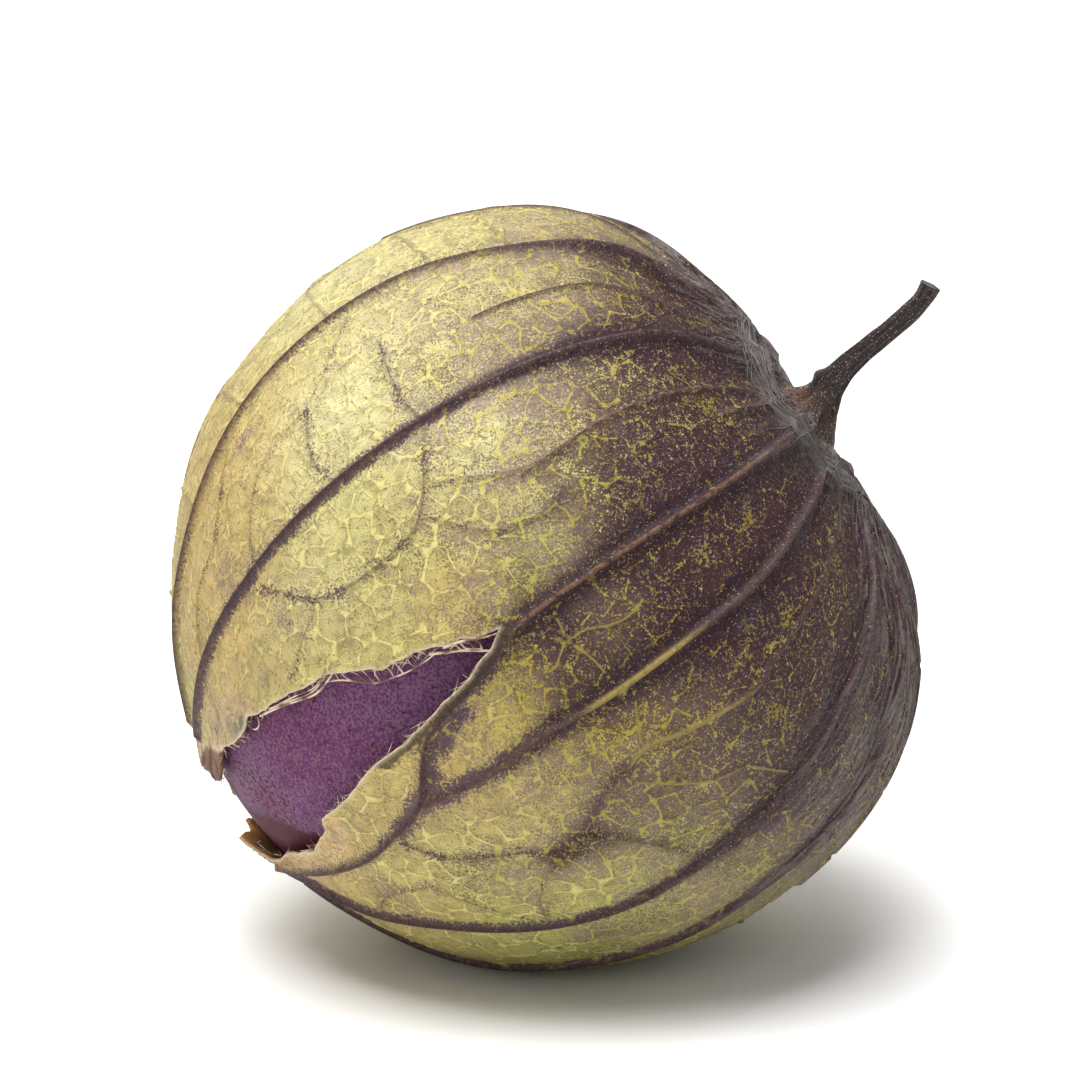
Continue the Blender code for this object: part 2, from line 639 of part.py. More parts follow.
def finish(name, mesh, colour, roughness):
    data = bpy.data.meshes.new(name)
    mesh.to_mesh(data)
    mesh.free()
    data.shade_smooth()
    data.set_sharp_from_angle(angle=math.radians(50))
    data.materials.append(material(name, colour, roughness))
    item = bpy.data.objects.new(name, data)
    bpy.context.scene.collection.objects.link(item)
    return item


def material(name, colour, roughness):
    made = bpy.data.materials.new(name)
    made.use_nodes = True
    shader = made.node_tree.nodes["Principled BSDF"]
    shader.inputs["Base Color"].default_value = colour
    shader.inputs["Roughness"].default_value = roughness
    shader.inputs["Metallic"].default_value = 0.0
    return made


def main():
    clear_scene()
    build_fruit()
    build_husk()
    build_stem()


main()
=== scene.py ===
"""The looks of a purple tomatillo in its torn husk, laid out as a Blender add-on.

Places on the husk are given by two angles round the fruit's axis. PSI is measured from
the stem (0 degrees) to the blossom end (180 degrees). LAM goes round the axis from the
side that faces -Y, and grows downwards on that side. Lengths in the functions are in
millimetres, and meshes are made in metres.
"""

import math

import bmesh
import bpy
import numpy as np
from bpy.props import FloatProperty, FloatVectorProperty, IntProperty, PointerProperty
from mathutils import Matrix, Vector
from mathutils.geometry import delaunay_2d_cdt


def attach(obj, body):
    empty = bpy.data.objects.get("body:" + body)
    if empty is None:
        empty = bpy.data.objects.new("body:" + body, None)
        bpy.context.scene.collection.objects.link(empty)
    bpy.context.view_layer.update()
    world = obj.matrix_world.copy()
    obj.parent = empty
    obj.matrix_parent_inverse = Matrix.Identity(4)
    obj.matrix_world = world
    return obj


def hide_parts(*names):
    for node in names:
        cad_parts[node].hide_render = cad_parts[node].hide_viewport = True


bl_info = {
    "name": "Tomatillo in its husk",
    "version": (1, 0, 0),
    "blender": (4, 5, 0),
    "location": "3D View > Sidebar > Tomatillo",
    "description": "Husk, fruit, stem, torn fibres, fuzz and stage for one tomatillo",
    "category": "Add Mesh",
}

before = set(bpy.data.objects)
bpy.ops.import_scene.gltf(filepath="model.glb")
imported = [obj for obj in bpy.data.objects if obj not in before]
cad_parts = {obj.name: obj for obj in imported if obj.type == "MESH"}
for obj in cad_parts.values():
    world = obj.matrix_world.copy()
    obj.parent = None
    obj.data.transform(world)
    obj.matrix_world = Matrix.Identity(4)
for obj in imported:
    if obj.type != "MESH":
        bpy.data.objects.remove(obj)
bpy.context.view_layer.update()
BODY = "root"
MM = 0.001

# The plain form, as in the part's source.
AXIS_TILT = math.radians(34.5)
CENTRE_HEIGHT = 24.75
HUSK_STEM_SIDE = 21.6
HUSK_BLOSSOM_SIDE = 25.4
HUSK_EQUATOR = 25.3
STEM_SIDE_SQUARENESS = 2.4
BEAK_HEIGHT = 0.8
BEAK_WIDTH = 16.0
CROWN_DEPTH = 1.9
CROWN_WIDTH = 15.0
AXIS = Vector((math.cos(AXIS_TILT), 0, math.sin(AXIS_TILT)))
SIDE = Vector((0, -1, 0))
UNDER = Vector((math.sin(AXIS_TILT), 0, -math.cos(AXIS_TILT)))
CENTRE = Vector((0, 0, CENTRE_HEIGHT))

# The husk's openings, in degrees of PSI and LAM. The lower lip is whole round FULL_LIP_LAM.
CROWN_HOLE_PSI = 3.8
MOUTH_PSI = 170.0
MOUTH_LOBES = 5
MOUTH_LOBE_REACH = 2.2
MOUTH_LOBE_LAM = 30
LOWER_LIP_LAM = 50.0
FULL_LIP_LAM = 66.0
FULL_LIP = 0.9
LIP_FOCUS = 4
SEAM = -166.0
TURN = 360.0
MOUTH_FAR_REACH = 4.5
MOUTH_FAR_LAM = 135
MOUTH_FAR_RISE = (-0.6, 0.3)
TEAR_UPPER = [(168, -42), (165.5, -33), (161, -23), (158.5, -21.5), (155, -23.5), (150, -25.8),
              (145.5, -24.2), (141, -23.4), (137, -24.6), (131, -23.6), (128, -22.8), (124, -21.8),
              (119, -21.2), (116, -20), (112.6, -18.4), (108.9, -16.8), (106, -15.9), (102, -14.9),
              (98, -13.3), (96.8, -13.7), (94.6, -12.2)]
TEAR_APEX = (91.2, -11.9)
TEAR_LOWER = [(94, -10.2), (96.4, -9.6), (99, -8.4), (103.5, -7.5), (108, -6.5), (113, -5.2),
              (120, -4.4), (125, -2.2), (128.6, -1), (133, 0.4), (135.6, 1.2), (137, 4.3),
              (140, 6.5), (144, 9.9), (149, 11.2), (152, 11.8), (157, 17), (163, 25)]
LIP_PSI = 154.0
TEAR_UPPER_LAM = -55.0
TEAR_LOWER_LAM = 38.0
# How each edge is torn: seed, size, and how far from its ends it is full, in millimetres.
RAGGED = {"lower": (3, 0.09, 3.0), "upper": (4, 0.17, 3.0), "right": (5, 0.16, 1.0), "left": (6, 0.16, 1.0)}
# The noise of a torn edge: wave length in millimetres and share.
TEAR_WAVES = ((2.4, 1.0), (1.0, 0.6), (0.45, 0.45))

# Ribs, each with its look: dark, tan or pale.
MAIN_RIBS = [
    ("dark", [(9, -79), (40, -77), (56, -73), (78, -74), (98, -75), (119, -71.5), (140, -69), (164, -68)]),
    ("dark", [(9, -47), (36, -46.6), (55, -45), (85, -44.5), (107, -44), (138, -44.6), (153, -47),
              (163, -52)]),
    ("tan", [(9, -13), (43, -10.5), (69, -11.3), (87, -11.3), (93, -9.6), (99, -7.2), (105, -5.7),
             (110, -3.8), (114, 0.9), (117, 5.6), (126, 9.4), (133, 13.4), (147, 18.5), (161, 28)]),
    ("pale", [(12, 9), (41, 5), (57, 6.5), (66, 5.3), (88, 5), (96, 4.2), (103, 5.7), (117, 5.6)]),
    ("dark", [(9, 36), (35, 36), (54, 36), (65, 37.7), (80, 39.2), (97, 40.2), (107, 39.5), (120, 38),
              (132, 35), (146, 35), (155, 33), (163, 40)]),
    ("dark", [(9, 60), (35, 56), (53, 54.5), (60, 57), (77, 57.5), (91, 57), (120, 60), (150, 64),
              (163, 66)]),
    ("dark", [(9, 100), (60, 108), (124, 112), (164, 108)]),
    ("tan", [(9, 144), (60, 148), (110, 145), (164, 148)]),
    ("dark", [(9, SEAM), (164, SEAM)]),
    ("dark", [(9, -125), (60, -121), (110, -118), (164, -121)]),
]
LESSER_RIBS = [
    ("dark", [(26, -62), (36, -60), (47, -58.5), (52, -60.5), (61, -59), (72, -57)]),
    ("tan", [(30, -30), (44, -31.5), (59, -31), (67, -30), (77, -28.6)]),
    ("pale", [(30, 21), (43, 18.5), (62, 18), (67, 19.5), (74, 17.5), (80, 16), (84, 14.2), (88, 16)]),
    ("pale", [(30, 80), (55, 82), (84, 80)]),
    ("tan", [(30, 123), (60, 127), (80, 125)]),
    ("pale", [(30, 171), (80, 168)]),
    ("tan", [(30, -146), (55, -142), (76, -144)]),
    ("dark", [(30, -101), (60, -97), (82, -99)]),
]
DARK_VEINS = [
    [(85, -44.3), (87.6, -38.7), (92.3, -30.7), (99, -29.2), (106, -29.4)],
    [(100, -59), (103, -50), (101, -44.3)],
    [(86, -61), (86.8, -49), (85, -44.5)],
    [(106, -29.4), (113, -31), (118, -38), (126, -44)],
    [(104, 23.3), (108.6, 19.7), (119.8, 16.9), (126, 10.5)],
]
BROWN_VEINS = [
    [(70.4, -29), (78, -29.7), (84, -32.9), (89.1, -35)],
    [(73.6, -23.4), (78.1, -22.1), (85, -23.7), (91.5, -31)],
    [(88, 16), (93.3, 17), (99, 22)],
    [(104, 23.3), (99, 22), (92, 30), (88, 39)],
    [(104, 23.3), (112, 30), (114, 38.5)],
    [(126, 22.4), (121, 29.6), (114, 38.5)],
    [(126, 22.4), (136, 24), (142, 34.5)],
    [(100, -59), (94, -64), (88, -74)],
    [(100, -59), (110, -58), (117, -52), (121, -44.5)],
    [(113, -31), (120, -27), (124, -24)],
    [(126, -57), (120, -63), (114, -72)],
    [(126, -57), (136, -56), (144, -46)],
]
PALE_VEINS = [
    [(83.4, -10.6), (83.7, -7.9), (84.3, -4.9), (82.6, -1.2), (82.4, 3.6), (82.0, 6.0)],
    [(84.3, -4.9), (81.2, -5.2), (79.3, -4.0), (75.8, -2.7), (72.5, -3.5)],
    [(84.3, -4.9), (85.9, -4.4), (87.6, -2.6), (89.5, -3.2)],
    [(80.4, 6), (84.7, 14.4)],
    [(74.7, 28.2), (80.1, 26.5), (87.9, 19.2)],
    [(74.7, 28.2), (70, 37.6)],
]
# Panels that the photo doesn't show, whose veins are drawn by rule. Ranges are in degrees.
RULED_PANELS = [(57, 108), (111, 146), (147, 194), (-166, -122), (-118, -75)]
VEIN_ROWS = [50, 66, 82, 98, 114, 130, 146]
VEIN_SEED = 11
NODE_SHIFT_PSI = 3
NODE_SHIFT_LAM = 4
LEFT_VEIN_DROP = (4, 8)
RIGHT_VEIN_DROP = (2, 7)
LINKED_SHARE = 0.7

# The slow shape of the paper, in millimetres. A rise or a fall is a range of PSI.
PLEAT_DEPTH = 0.6
PLEAT_RISE, PLEAT_FALL = (8, 16), (30, 62)
PLEAT_REACH = 1.2
PANEL_BULGE = 0.2
BULGE_RISE, BULGE_FALL = (50, 80), (140, 160)
BULGE_REACH = 3.0
RIB_REACH = 9
PAPER_WAVE = 0.12
WAVE_RISE = (30, 60)
EDGE_REACH = 6
TEAR_LIFT = 0.25
TEAR_LIFT_REACH = 1.3
LIP_FLARE = 0.45
LIP_FLARE_REACH = 1.6
LIP_CURL = 0.28
LIP_CURL_REACH = 0.8
# On the crown: height, middle PSI and reach in degrees.
CROWN_SLOPE, SLOPE_PSI, SLOPE_REACH = 1.15, 20, 10
CROWN_DISH, DISH_PSI, DISH_REACH = 0.45, 11, 4.5
CROWN_SHOULDER, SHOULDER_PSI, SHOULDER_WIDTH = 0.4, 20.5, 4.0
# Slow lifts and dips of the upper and the lower outline: middle PSI and reach in degrees, and
# height in millimetres.
UPPER_FORM = [(34, 10, -0.65), (66, 14, -0.3), (142, 26, -0.2)]
LOWER_FORM = [(46, 9, 0.4), (23, 9, -0.35)]

# How each kind of line stands up: height, half width, and point rows across the half width.
MAIN_RIB = (0.5, 0.42, (0.3, 0.65, 1.1, 1.9, 2.8))
LESSER_RIB = (0.3, 0.3, (0.5, 1.1))
SIDE_VEIN = (0.22, 0.2, (0.5, 1.1))
THIN_VEIN = (0.16, 0.15, (1.05,))
LARGE_CELL = (0.11, 0.15, (1.05,))
SMALL_CELL = (0.06, 0.115, (1.05,))
PLEAT = (0.5, 0.42, (0.5, 1.1))
# The paper between the lines stands up by this much, from these distances on.
CUSHION, CUSHION_RISE = 0.08, (0.1, 0.7)
RIB_RISE = (14, 40)
# How near to a stronger line a weaker one has no points, as a share of that line's half width.
GIVE_WAY = 1.12
# The net: its range of PSI, noise as a share of a cell, bend, and how strong its lines are.
NET_PSI = (24.0, 168.0)
ROW_NOISE = 0.4
CELL_SIDES = (0.04, 1.7)
NET_BEND = 0.14
LARGE_STRENGTH, SMALL_STRENGTH = (0.75, 1.0), (0.45, 0.9)
SMALL_KEPT = 0.9
# The pleats: how many, and where they start and end in PSI. In a range of LAM on the underside
# they run on further.
PLEAT_COUNT = 56
PLEAT_STARTS, PLEAT_ENDS = (6, 9), (22, 44)
PLEAT_WANDER = 6
LONG_PLEAT = 40
LONG_PLEATS_FROM, LONG_PLEATS_TO = (38, 58), (100, 120)

# Mesh fineness, in millimetres.
LINE_STEP = 0.5
NET_STEP = 0.66
RIM_STEP = 0.24
LOOSE_STEP = 0.95
INNER_STEP = 2.4
INNER_CROWN_STEP = 1.1
CROWDING = 0.2
STRIPS = 60
TILES = 24
SNAP = 0.0022
ROW_GAP = 0.866
LOOSE_NOISE = 0.12
RIM_ROWS = (-0.34, -0.14, 0.14, 0.34)
RIM_CLEARANCE, INNER_CLEARANCE, LINE_CLEARANCE = 0.09, 0.5, 0.4
INNER_CROWN_PSI = 58
# How much thicker the wall is by the crown, in millimetres, and the range of PSI where that ends.
CROWN_WALL, CROWN_WALL_END = 0.15, (30, 60)
WELD_GAP = 1e-8


def smooth_step(low, high, value):
    t = np.clip((value - low) / (high - low), 0, 1)
    return t * t * (3 - 2 * t)


def window(height, value, rise, fall):
    """The height inside a range of values, with soft ends."""
    return height * smooth_step(*rise, value) * (1 - smooth_step(*fall, value))


def hump(value, reach):
    """One where the value is nought, and less away from it."""
    return np.exp(-(value / reach) ** 2)


def towards(angle):
    """One where the angle from a direction is nought, and less away from it."""
    return np.exp(LIP_FOCUS * (np.cos(angle) - 1))


def to_plane(psi, lam):
    """A place on the husk to a flat map on which angles are kept."""
    return np.radians(lam), np.log(np.tan(np.radians(psi) / 2))


def psi_of(y):
    return np.degrees(2 * np.arctan(np.exp(y)))


def body_radius(psi):
    """The plain husk, turned about its axis: its radius from the body's centre."""
    along, across = np.cos(psi), np.sin(psi)
    end = np.where(along > 0, HUSK_STEM_SIDE, HUSK_BLOSSOM_SIDE)
    power = np.where(along > 0, STEM_SIDE_SQUARENESS, 2.0)
    radius = ((np.abs(along) / end) ** power + (np.abs(across) / HUSK_EQUATOR) ** power) ** (-1 / power)
    beak = BEAK_HEIGHT * np.exp(-((180 - np.degrees(psi)) / BEAK_WIDTH) ** 2)
    crown = CROWN_DEPTH * np.exp(-(np.degrees(psi) / CROWN_WIDTH) ** 2)
    return radius + beak - crown


def girth_radius(y):
    """Millimetres of husk to one radian of the map."""
    psi = np.radians(psi_of(y))
    return body_radius(psi) * np.sin(psi)


def local_step(y, spacing):
    """The spacing as a length on the map, closer where the husk is narrow."""
    return np.minimum(spacing / girth_radius(y), CROWDING)


def on_map(places):
    return np.column_stack(to_plane(*np.array(places, float).T))


def round_corners(points, rounds=2):
    """Cut the corners of a path, which keeps its two ends."""
    for _ in range(rounds):
        a, b = points[:-1], points[1:]
        cut = np.stack([0.75 * a + 0.25 * b, 0.25 * a + 0.75 * b], 1).reshape(-1, 2)
        points = np.vstack([points[:1], cut[1:-1], points[-1:]])
    return points


def spread(points, spacing):
    """Points at even steps of the given millimetres along a path on the map."""
    middle = (points[:-1, 1] + points[1:, 1]) / 2
    steps = np.hypot(*(points[1:] - points[:-1]).T) / local_step(middle, spacing)
    run = np.concatenate([[0], np.cumsum(steps)])
    places = np.linspace(0, run[-1], max(1, round(run[-1])) + 1)
    return np.column_stack([np.interp(places, run, points[:, k]) for k in (0, 1)])


def smooth_path(places, rounds=2, spacing=LINE_STEP):
    """A smooth path on the map through places given as PSI and LAM."""
    return spread(round_corners(on_map(places), rounds), spacing)


def across(path):
    """Sideways directions on the map, one millimetre long on the husk."""
    along = np.gradient(path, axis=0)
    along /= np.maximum(np.hypot(along[:, 0], along[:, 1]), 1e-12)[:, None]
    return np.column_stack([-along[:, 1], along[:, 0]]) / girth_radius(path[:, 1])[:, None]


def mouth_psi(lam):
    """The mouth's edge, in blunt lobes but for the lower lip, and further closed on the far side."""
    lobes = MOUTH_LOBE_REACH * np.cos(np.radians(MOUTH_LOBES * (lam - MOUTH_LOBE_LAM)))
    lobes = lobes * (1 - FULL_LIP * towards(np.radians(lam - FULL_LIP_LAM)))
    far = smooth_step(*MOUTH_FAR_RISE, np.cos(np.radians(lam - MOUTH_FAR_LAM)))
    return MOUTH_PSI + lobes + MOUTH_FAR_REACH * far


def ragged(path, seed, size, taper):
    """A torn edge: the path pushed to and fro by steps of noise, but not near its ends."""
    draw = np.random.default_rng(seed)
    run = np.linspace(0, 1, len(path))
    length = len(path) * RIM_STEP
    push = np.zeros(len(path))
    for wave, share in TEAR_WAVES:
        count = max(4, int(length / wave))
        push += share * np.interp(run * (count - 1), np.arange(count), draw.uniform(-1, 1, count))
    fade = np.clip(np.minimum(run, 1 - run) * length / taper, 0, 1)
    return path + across(path) * (size * push * fade)[:, None]


def ring_path(lam_from, lam_to, spacing, psi_at=mouth_psi):
    lam = np.linspace(lam_from, lam_to, 90)
    return spread(np.column_stack(to_plane(psi_at(lam), lam)), spacing)


def husk_outline():
    """The husk laid flat, as one closed outline, with its torn and mouth edges by name."""
    end = SEAM + TURN
    crown = ring_path(SEAM, end, RIM_STEP * 2, lambda lam: CROWN_HOLE_PSI + 0 * lam)
    seam = spread(on_map([(CROWN_HOLE_PSI, end), (mouth_psi(end), end)]), LINE_STEP)
    lower_end = (mouth_psi(TEAR_LOWER_LAM), TEAR_LOWER_LAM)
    upper_end = (mouth_psi(TEAR_UPPER_LAM), TEAR_UPPER_LAM)
    lower = spread(on_map([lower_end] + TEAR_LOWER[::-1] + [TEAR_APEX]), RIM_STEP)
    upper = spread(on_map([TEAR_APEX] + TEAR_UPPER[::-1] + [upper_end]), RIM_STEP)
    lower, upper = ragged(lower, *RAGGED["lower"]), ragged(upper, *RAGGED["upper"])
    right = ragged(ring_path(end, TEAR_LOWER_LAM, RIM_STEP), *RAGGED["right"])
    left = ragged(ring_path(TEAR_UPPER_LAM, SEAM, RIM_STEP), *RAGGED["left"])
    back = seam[::-1] - [math.radians(TURN), 0]
    runs = [crown, seam, right, lower, upper, left, back]
    points = np.vstack([run[:-1] for run in runs])
    is_rim = np.concatenate([np.full(len(run) - 1, run is not seam and run is not back) for run in runs])
    lip_ends = [run[psi_of(run[:, 1]) > LIP_PSI] for run in (lower, upper)]
    return points, is_rim, {"upper": upper, "lower": lower, "mouth": np.vstack([right, *lip_ends, left])}


def inside(points, outline):
    """Whether each point of the map is inside the outline, a strip of points at a time."""
    edges = np.hstack([outline, np.roll(outline, -1, axis=0)])
    low, high = np.minimum(edges[:, 1], edges[:, 3]), np.maximum(edges[:, 1], edges[:, 3])
    out = np.zeros(len(points), dtype=bool)
    for strip in np.array_split(np.argsort(points[:, 1]), STRIPS):
        if not len(strip):
            continue
        x, y = points[strip, 0:1], points[strip, 1:2]
        ax, ay, bx, by = edges[(low <= y.max()) & (high >= y.min())].T
        rise = np.where(np.abs(by - ay) < 1e-12, 1e-12, by - ay)
        crossed = ((ay > y) != (by > y)) & (x < ax + (y - ay) * (bx - ax) / rise)
        out[strip] = crossed.sum(1) % 2 == 1
    return out


# Column of a row's first further value, after its two ends and its half width.
FIRST_VALUE = 5


def segments(path, half=1.0, values=()):
    """Rows of x0, y0, x1, y1, half width and any further values."""
    extra = np.tile([half, *values], (len(path) - 1, 1))
    return np.hstack([path[:-1], path[1:], extra])


def turned_copies(rows):
    """The rows, with copies one turn to each side of the map."""
    shift = np.zeros(rows.shape[1])
    shift[[0, 2]] = 2 * math.pi
    return np.vstack([rows - shift, rows, rows + shift])


def tiles(points, rows, reach):
    """Tiles of points with the rows that pass within reach of them."""
    low, high = np.minimum(rows[:, 1], rows[:, 3]), np.maximum(rows[:, 1], rows[:, 3])
    for strip in np.array_split(np.argsort(points[:, 1]), STRIPS):
        if not len(strip):
            continue
        strip = strip[np.argsort(points[strip, 0])]
        y = points[strip, 1]
        margin = reach / girth_radius(y).min()
        near = rows[(low < y.max() + margin) & (high > y.min() - margin)]
        left, right = np.minimum(near[:, 0], near[:, 2]), np.maximum(near[:, 0], near[:, 2])
        for tile in np.array_split(strip, TILES):
            if len(tile):
                x = points[tile, 0]
                yield tile, near[(left < x.max() + margin) & (right > x.min() - margin)]


def distances(points, rows):
    """Millimetres from each point on the map to each row's segment."""
    a, along = rows[:, 0:2], rows[:, 2:4] - rows[:, 0:2]
    length = np.maximum((along ** 2).sum(1), 1e-14)
    px, py = points[:, 0:1] - a[:, 0], points[:, 1:2] - a[:, 1]
    t = np.clip((px * along[:, 0] + py * along[:, 1]) / length, 0, 1)
    flat = np.hypot(px - t * along[:, 0], py - t * along[:, 1])
    return flat * girth_radius(points[:, 1])[:, None]


def nearest(points, rows, reach):
    """Smallest distance to the rows, up to reach."""
    out = np.full(len(points), float(reach))
    for tile, near in tiles(points, rows, reach):
        if len(near):
            out[tile] = np.minimum(distances(points[tile], near).min(1), reach)
    return out


def strongest(points, rows):
    """For each further value of the rows, its largest share at each point."""
    out = np.zeros((len(points), rows.shape[1] - FIRST_VALUE))
    for tile, near in tiles(points, rows, rows[:, 4].max()):
        if len(near):
            share = np.clip(1 - distances(points[tile], near) / near[:, 4], 0, 1)
            share = share * share * (3 - 2 * share)
            for k in range(out.shape[1]):
                out[tile, k] = (share * near[:, FIRST_VALUE + k]).max(1)
    return out


def ruled_veins():
    """Veins that link neighbouring ribs and each other, row by row, in a panel."""
    draw = np.random.default_rng(VEIN_SEED)
    veins = []
    for left, right in RULED_PANELS:
        middle = (left + right) / 2
        nodes = [(psi + draw.uniform(-NODE_SHIFT_PSI, NODE_SHIFT_PSI),
                  middle + draw.uniform(-NODE_SHIFT_LAM, NODE_SHIFT_LAM)) for psi in VEIN_ROWS]
        for node, after in zip(nodes, nodes[1:] + nodes[-1:]):
            veins.append([(node[0] - draw.uniform(*LEFT_VEIN_DROP), left), node])
            veins.append([node, (node[0] - draw.uniform(*RIGHT_VEIN_DROP), right)])
            if after is not node and draw.random() < LINKED_SHARE:
                veins.append([node, after])
    return veins


def uneven_rows(cell, draw):
    """Staggered rows of points with much noise, all over the husk."""
    low, high = (to_plane(psi, 0)[1] for psi in NET_PSI)
    rows, y, odd = [], low, 0
    while y < high:
        step = float(local_step(np.array([y]), cell)[0])
        odd = 1 - odd
        count = round(2.05 * math.pi / step)
        x = math.radians(SEAM) - 0.05 + (np.arange(count + 1) + 0.5 * odd) * step
        row = np.column_stack([x, np.full(count + 1, y)])
        rows.append(row + draw.uniform(-ROW_NOISE, ROW_NOISE, row.shape) * step)
        y += step * ROW_GAP
    return np.vstack(rows)


def cell_edges(cell, large, seed):
    """Edges of uneven small cells, and whether each of them also parts two large cells."""
    draw = np.random.default_rng(seed)
    seeds, parents = uneven_rows(cell, draw), uneven_rows(large, draw)
    found, _, faces, _, _, _ = delaunay_2d_cdt([Vector(point) for point in seeds.tolist()], [], [], 0, 1e-7)
    found, faces = np.array([tuple(p) for p in found]), np.array(faces)
    centres = circle_centres(found[faces])
    family = np.concatenate([((block[:, None] - parents) ** 2).sum(2).argmin(1)
                             for block in np.array_split(found, TILES)])
    owners = {}
    for index, face in enumerate(faces.tolist()):
        for a, b in ((0, 1), (1, 2), (2, 0)):
            owners.setdefault(tuple(sorted((face[a], face[b]))), []).append(index)
    shared = {sides: pair for sides, pair in owners.items() if len(pair) == 2}
    sides, ends = np.array(list(shared)), centres[np.array(list(shared.values()))]
    parting = family[sides[:, 0]] != family[sides[:, 1]]
    length = np.hypot(*(ends[:, 1] - ends[:, 0]).T) / local_step(ends[:, :, 1].mean(1), cell)
    kept = (length < CELL_SIDES[1]) & (length > CELL_SIDES[0])
    return ends[kept], parting[kept]


def circle_centres(triangles):
    """Centres of the circles through the corners of triangles."""
    a, b, c = triangles[:, 0], triangles[:, 1], triangles[:, 2]
    u, v = b - a, c - a
    twice = 2 * (u[:, 0] * v[:, 1] - u[:, 1] * v[:, 0])
    twice = np.where(np.abs(twice) < 1e-12, 1e-12, twice)
    uu, vv = (u ** 2).sum(1), (v ** 2).sum(1)
    x = (v[:, 1] * uu - u[:, 1] * vv) / twice
    y = (u[:, 0] * vv - v[:, 0] * uu) / twice
    return a + np.column_stack([x, y])


def net_paths(cell, large, seed):
    """The net as short bent paths, each with its strength and whether it parts large cells."""
    draw = np.random.default_rng(seed + 100)
    paths = []
    for (a, b), parting in zip(*cell_edges(cell, large, seed)):
        way = b - a
        side = np.array([-way[1], way[0]]) * draw.uniform(-NET_BEND, NET_BEND)
        path = spread(np.array([a, a + way * 0.5 + side, b]), NET_STEP)
        strength = draw.uniform(*(LARGE_STRENGTH if parting else SMALL_STRENGTH))
        if parting or draw.random() < SMALL_KEPT:
            paths.append((path, strength, parting))
    return paths


class Lines:
    """Every rib, vein and net line, as table rows and as points for the mesh.

    A row's values are its height and how dark, tan, pale, straw coloured and ashy it is; on the
    pleats the ash is a painted highlight along their crests. A line's level says which lines
    give way to it: near a line of a lower level the mesh has no other points.
    """

    def __init__(self):
        self.rows = [[], [], [], []]
        self.points = [[], [], [], []]

    def put(self, path, level, kind, rows):
        """Keep a line's table rows, and its points with rows of points on both sides."""
        _, half, fractions = kind
        side = across(path)
        self.rows[level].append(rows)
        self.points[level].append(path)
        for fraction in fractions:
            self.points[level] += [path + side * half * fraction, path - side * half * fraction]

    def add(self, path, level, kind, height, dark=0.0, tan=0.0, pale=0.0, straw=0.0, ash=0.0):
        self.put(path, level, kind, segments(path, kind[1], (height, dark, tan, pale, straw, ash)))

    def add_rib(self, look, places, kind):
        """A rib of the lowest level, whose height and look change along it."""
        path = smooth_path(places)
        psi = psi_of((path[1:, 1] + path[:-1, 1]) / 2)
        shades = np.column_stack(rib_shades(look, psi))
        height = kind[0] * smooth_step(*RIB_RISE, psi)
        half = np.full((len(psi), 1), kind[1])
        self.put(path, 0, kind, np.hstack([path[:-1], path[1:], half, height[:, None], shades]))

    def all_rows(self):
        return turned_copies(np.vstack([rows for level in self.rows for rows in level]))

    def clear_points(self):
        """The points of each level, without those that crowd a lower level's lines."""
        kept = [np.vstack(self.points[0])]
        for level in (1, 2, 3):
            points = np.vstack(self.points[level])
            above = turned_copies(np.vstack([rows for k in range(level) for rows in self.rows[k]]))
            kept.append(points[~covered(points, above, GIVE_WAY)])
        return np.vstack(kept)


def covered(points, rows, share):
    """Whether each point is nearer to a row than that share of the row's half width."""
    out = np.zeros(len(points), dtype=bool)
    for tile, near in tiles(points, rows, rows[:, 4].max() * share):
        if len(near):
            out[tile] = (distances(points[tile], near) < near[:, 4] * share).any(1)
    return out


def rib_shades(look, psi):
    """How dark, tan, pale, straw coloured and ashy a rib is along its length."""
    none = np.zeros_like(psi)
    ash = 0.75 * (1 - smooth_step(20, 48, psi))
    if look == "dark":
        return none + 1.0, 0.25 * (1 - smooth_step(40, 80, psi)), none, none, ash
    if look == "tan":
        tan = window(1.0, psi, (26, 48), (90, 98))
        return 1 - 0.85 * tan, tan, none, none, ash
    bare = window(0.8, psi, (60, 76), (84, 91))
    return 0.7 * (1 - bare), 0.7 * (1 - bare), none, bare, ash


def crown_pleats():
    """Short folds that run together at the crown, between the ribs."""
    draw = np.random.default_rng(41)
    pleats = []
    for k in range(PLEAT_COUNT):
        lam = SEAM + TURN * (k + draw.uniform(0.1, 0.9)) / PLEAT_COUNT
        low, high = draw.uniform(*PLEAT_STARTS), draw.uniform(*PLEAT_ENDS)
        high += float(window(LONG_PLEAT, lam, LONG_PLEATS_FROM, LONG_PLEATS_TO))
        wander = draw.uniform(-PLEAT_WANDER, PLEAT_WANDER)
        middle = (low + high) / 2
        bend = draw.uniform(-1.5, 1.5)
        pleats.append([(low, lam - wander), (middle, lam + bend), (high, lam + wander * 0.5)])
    return pleats


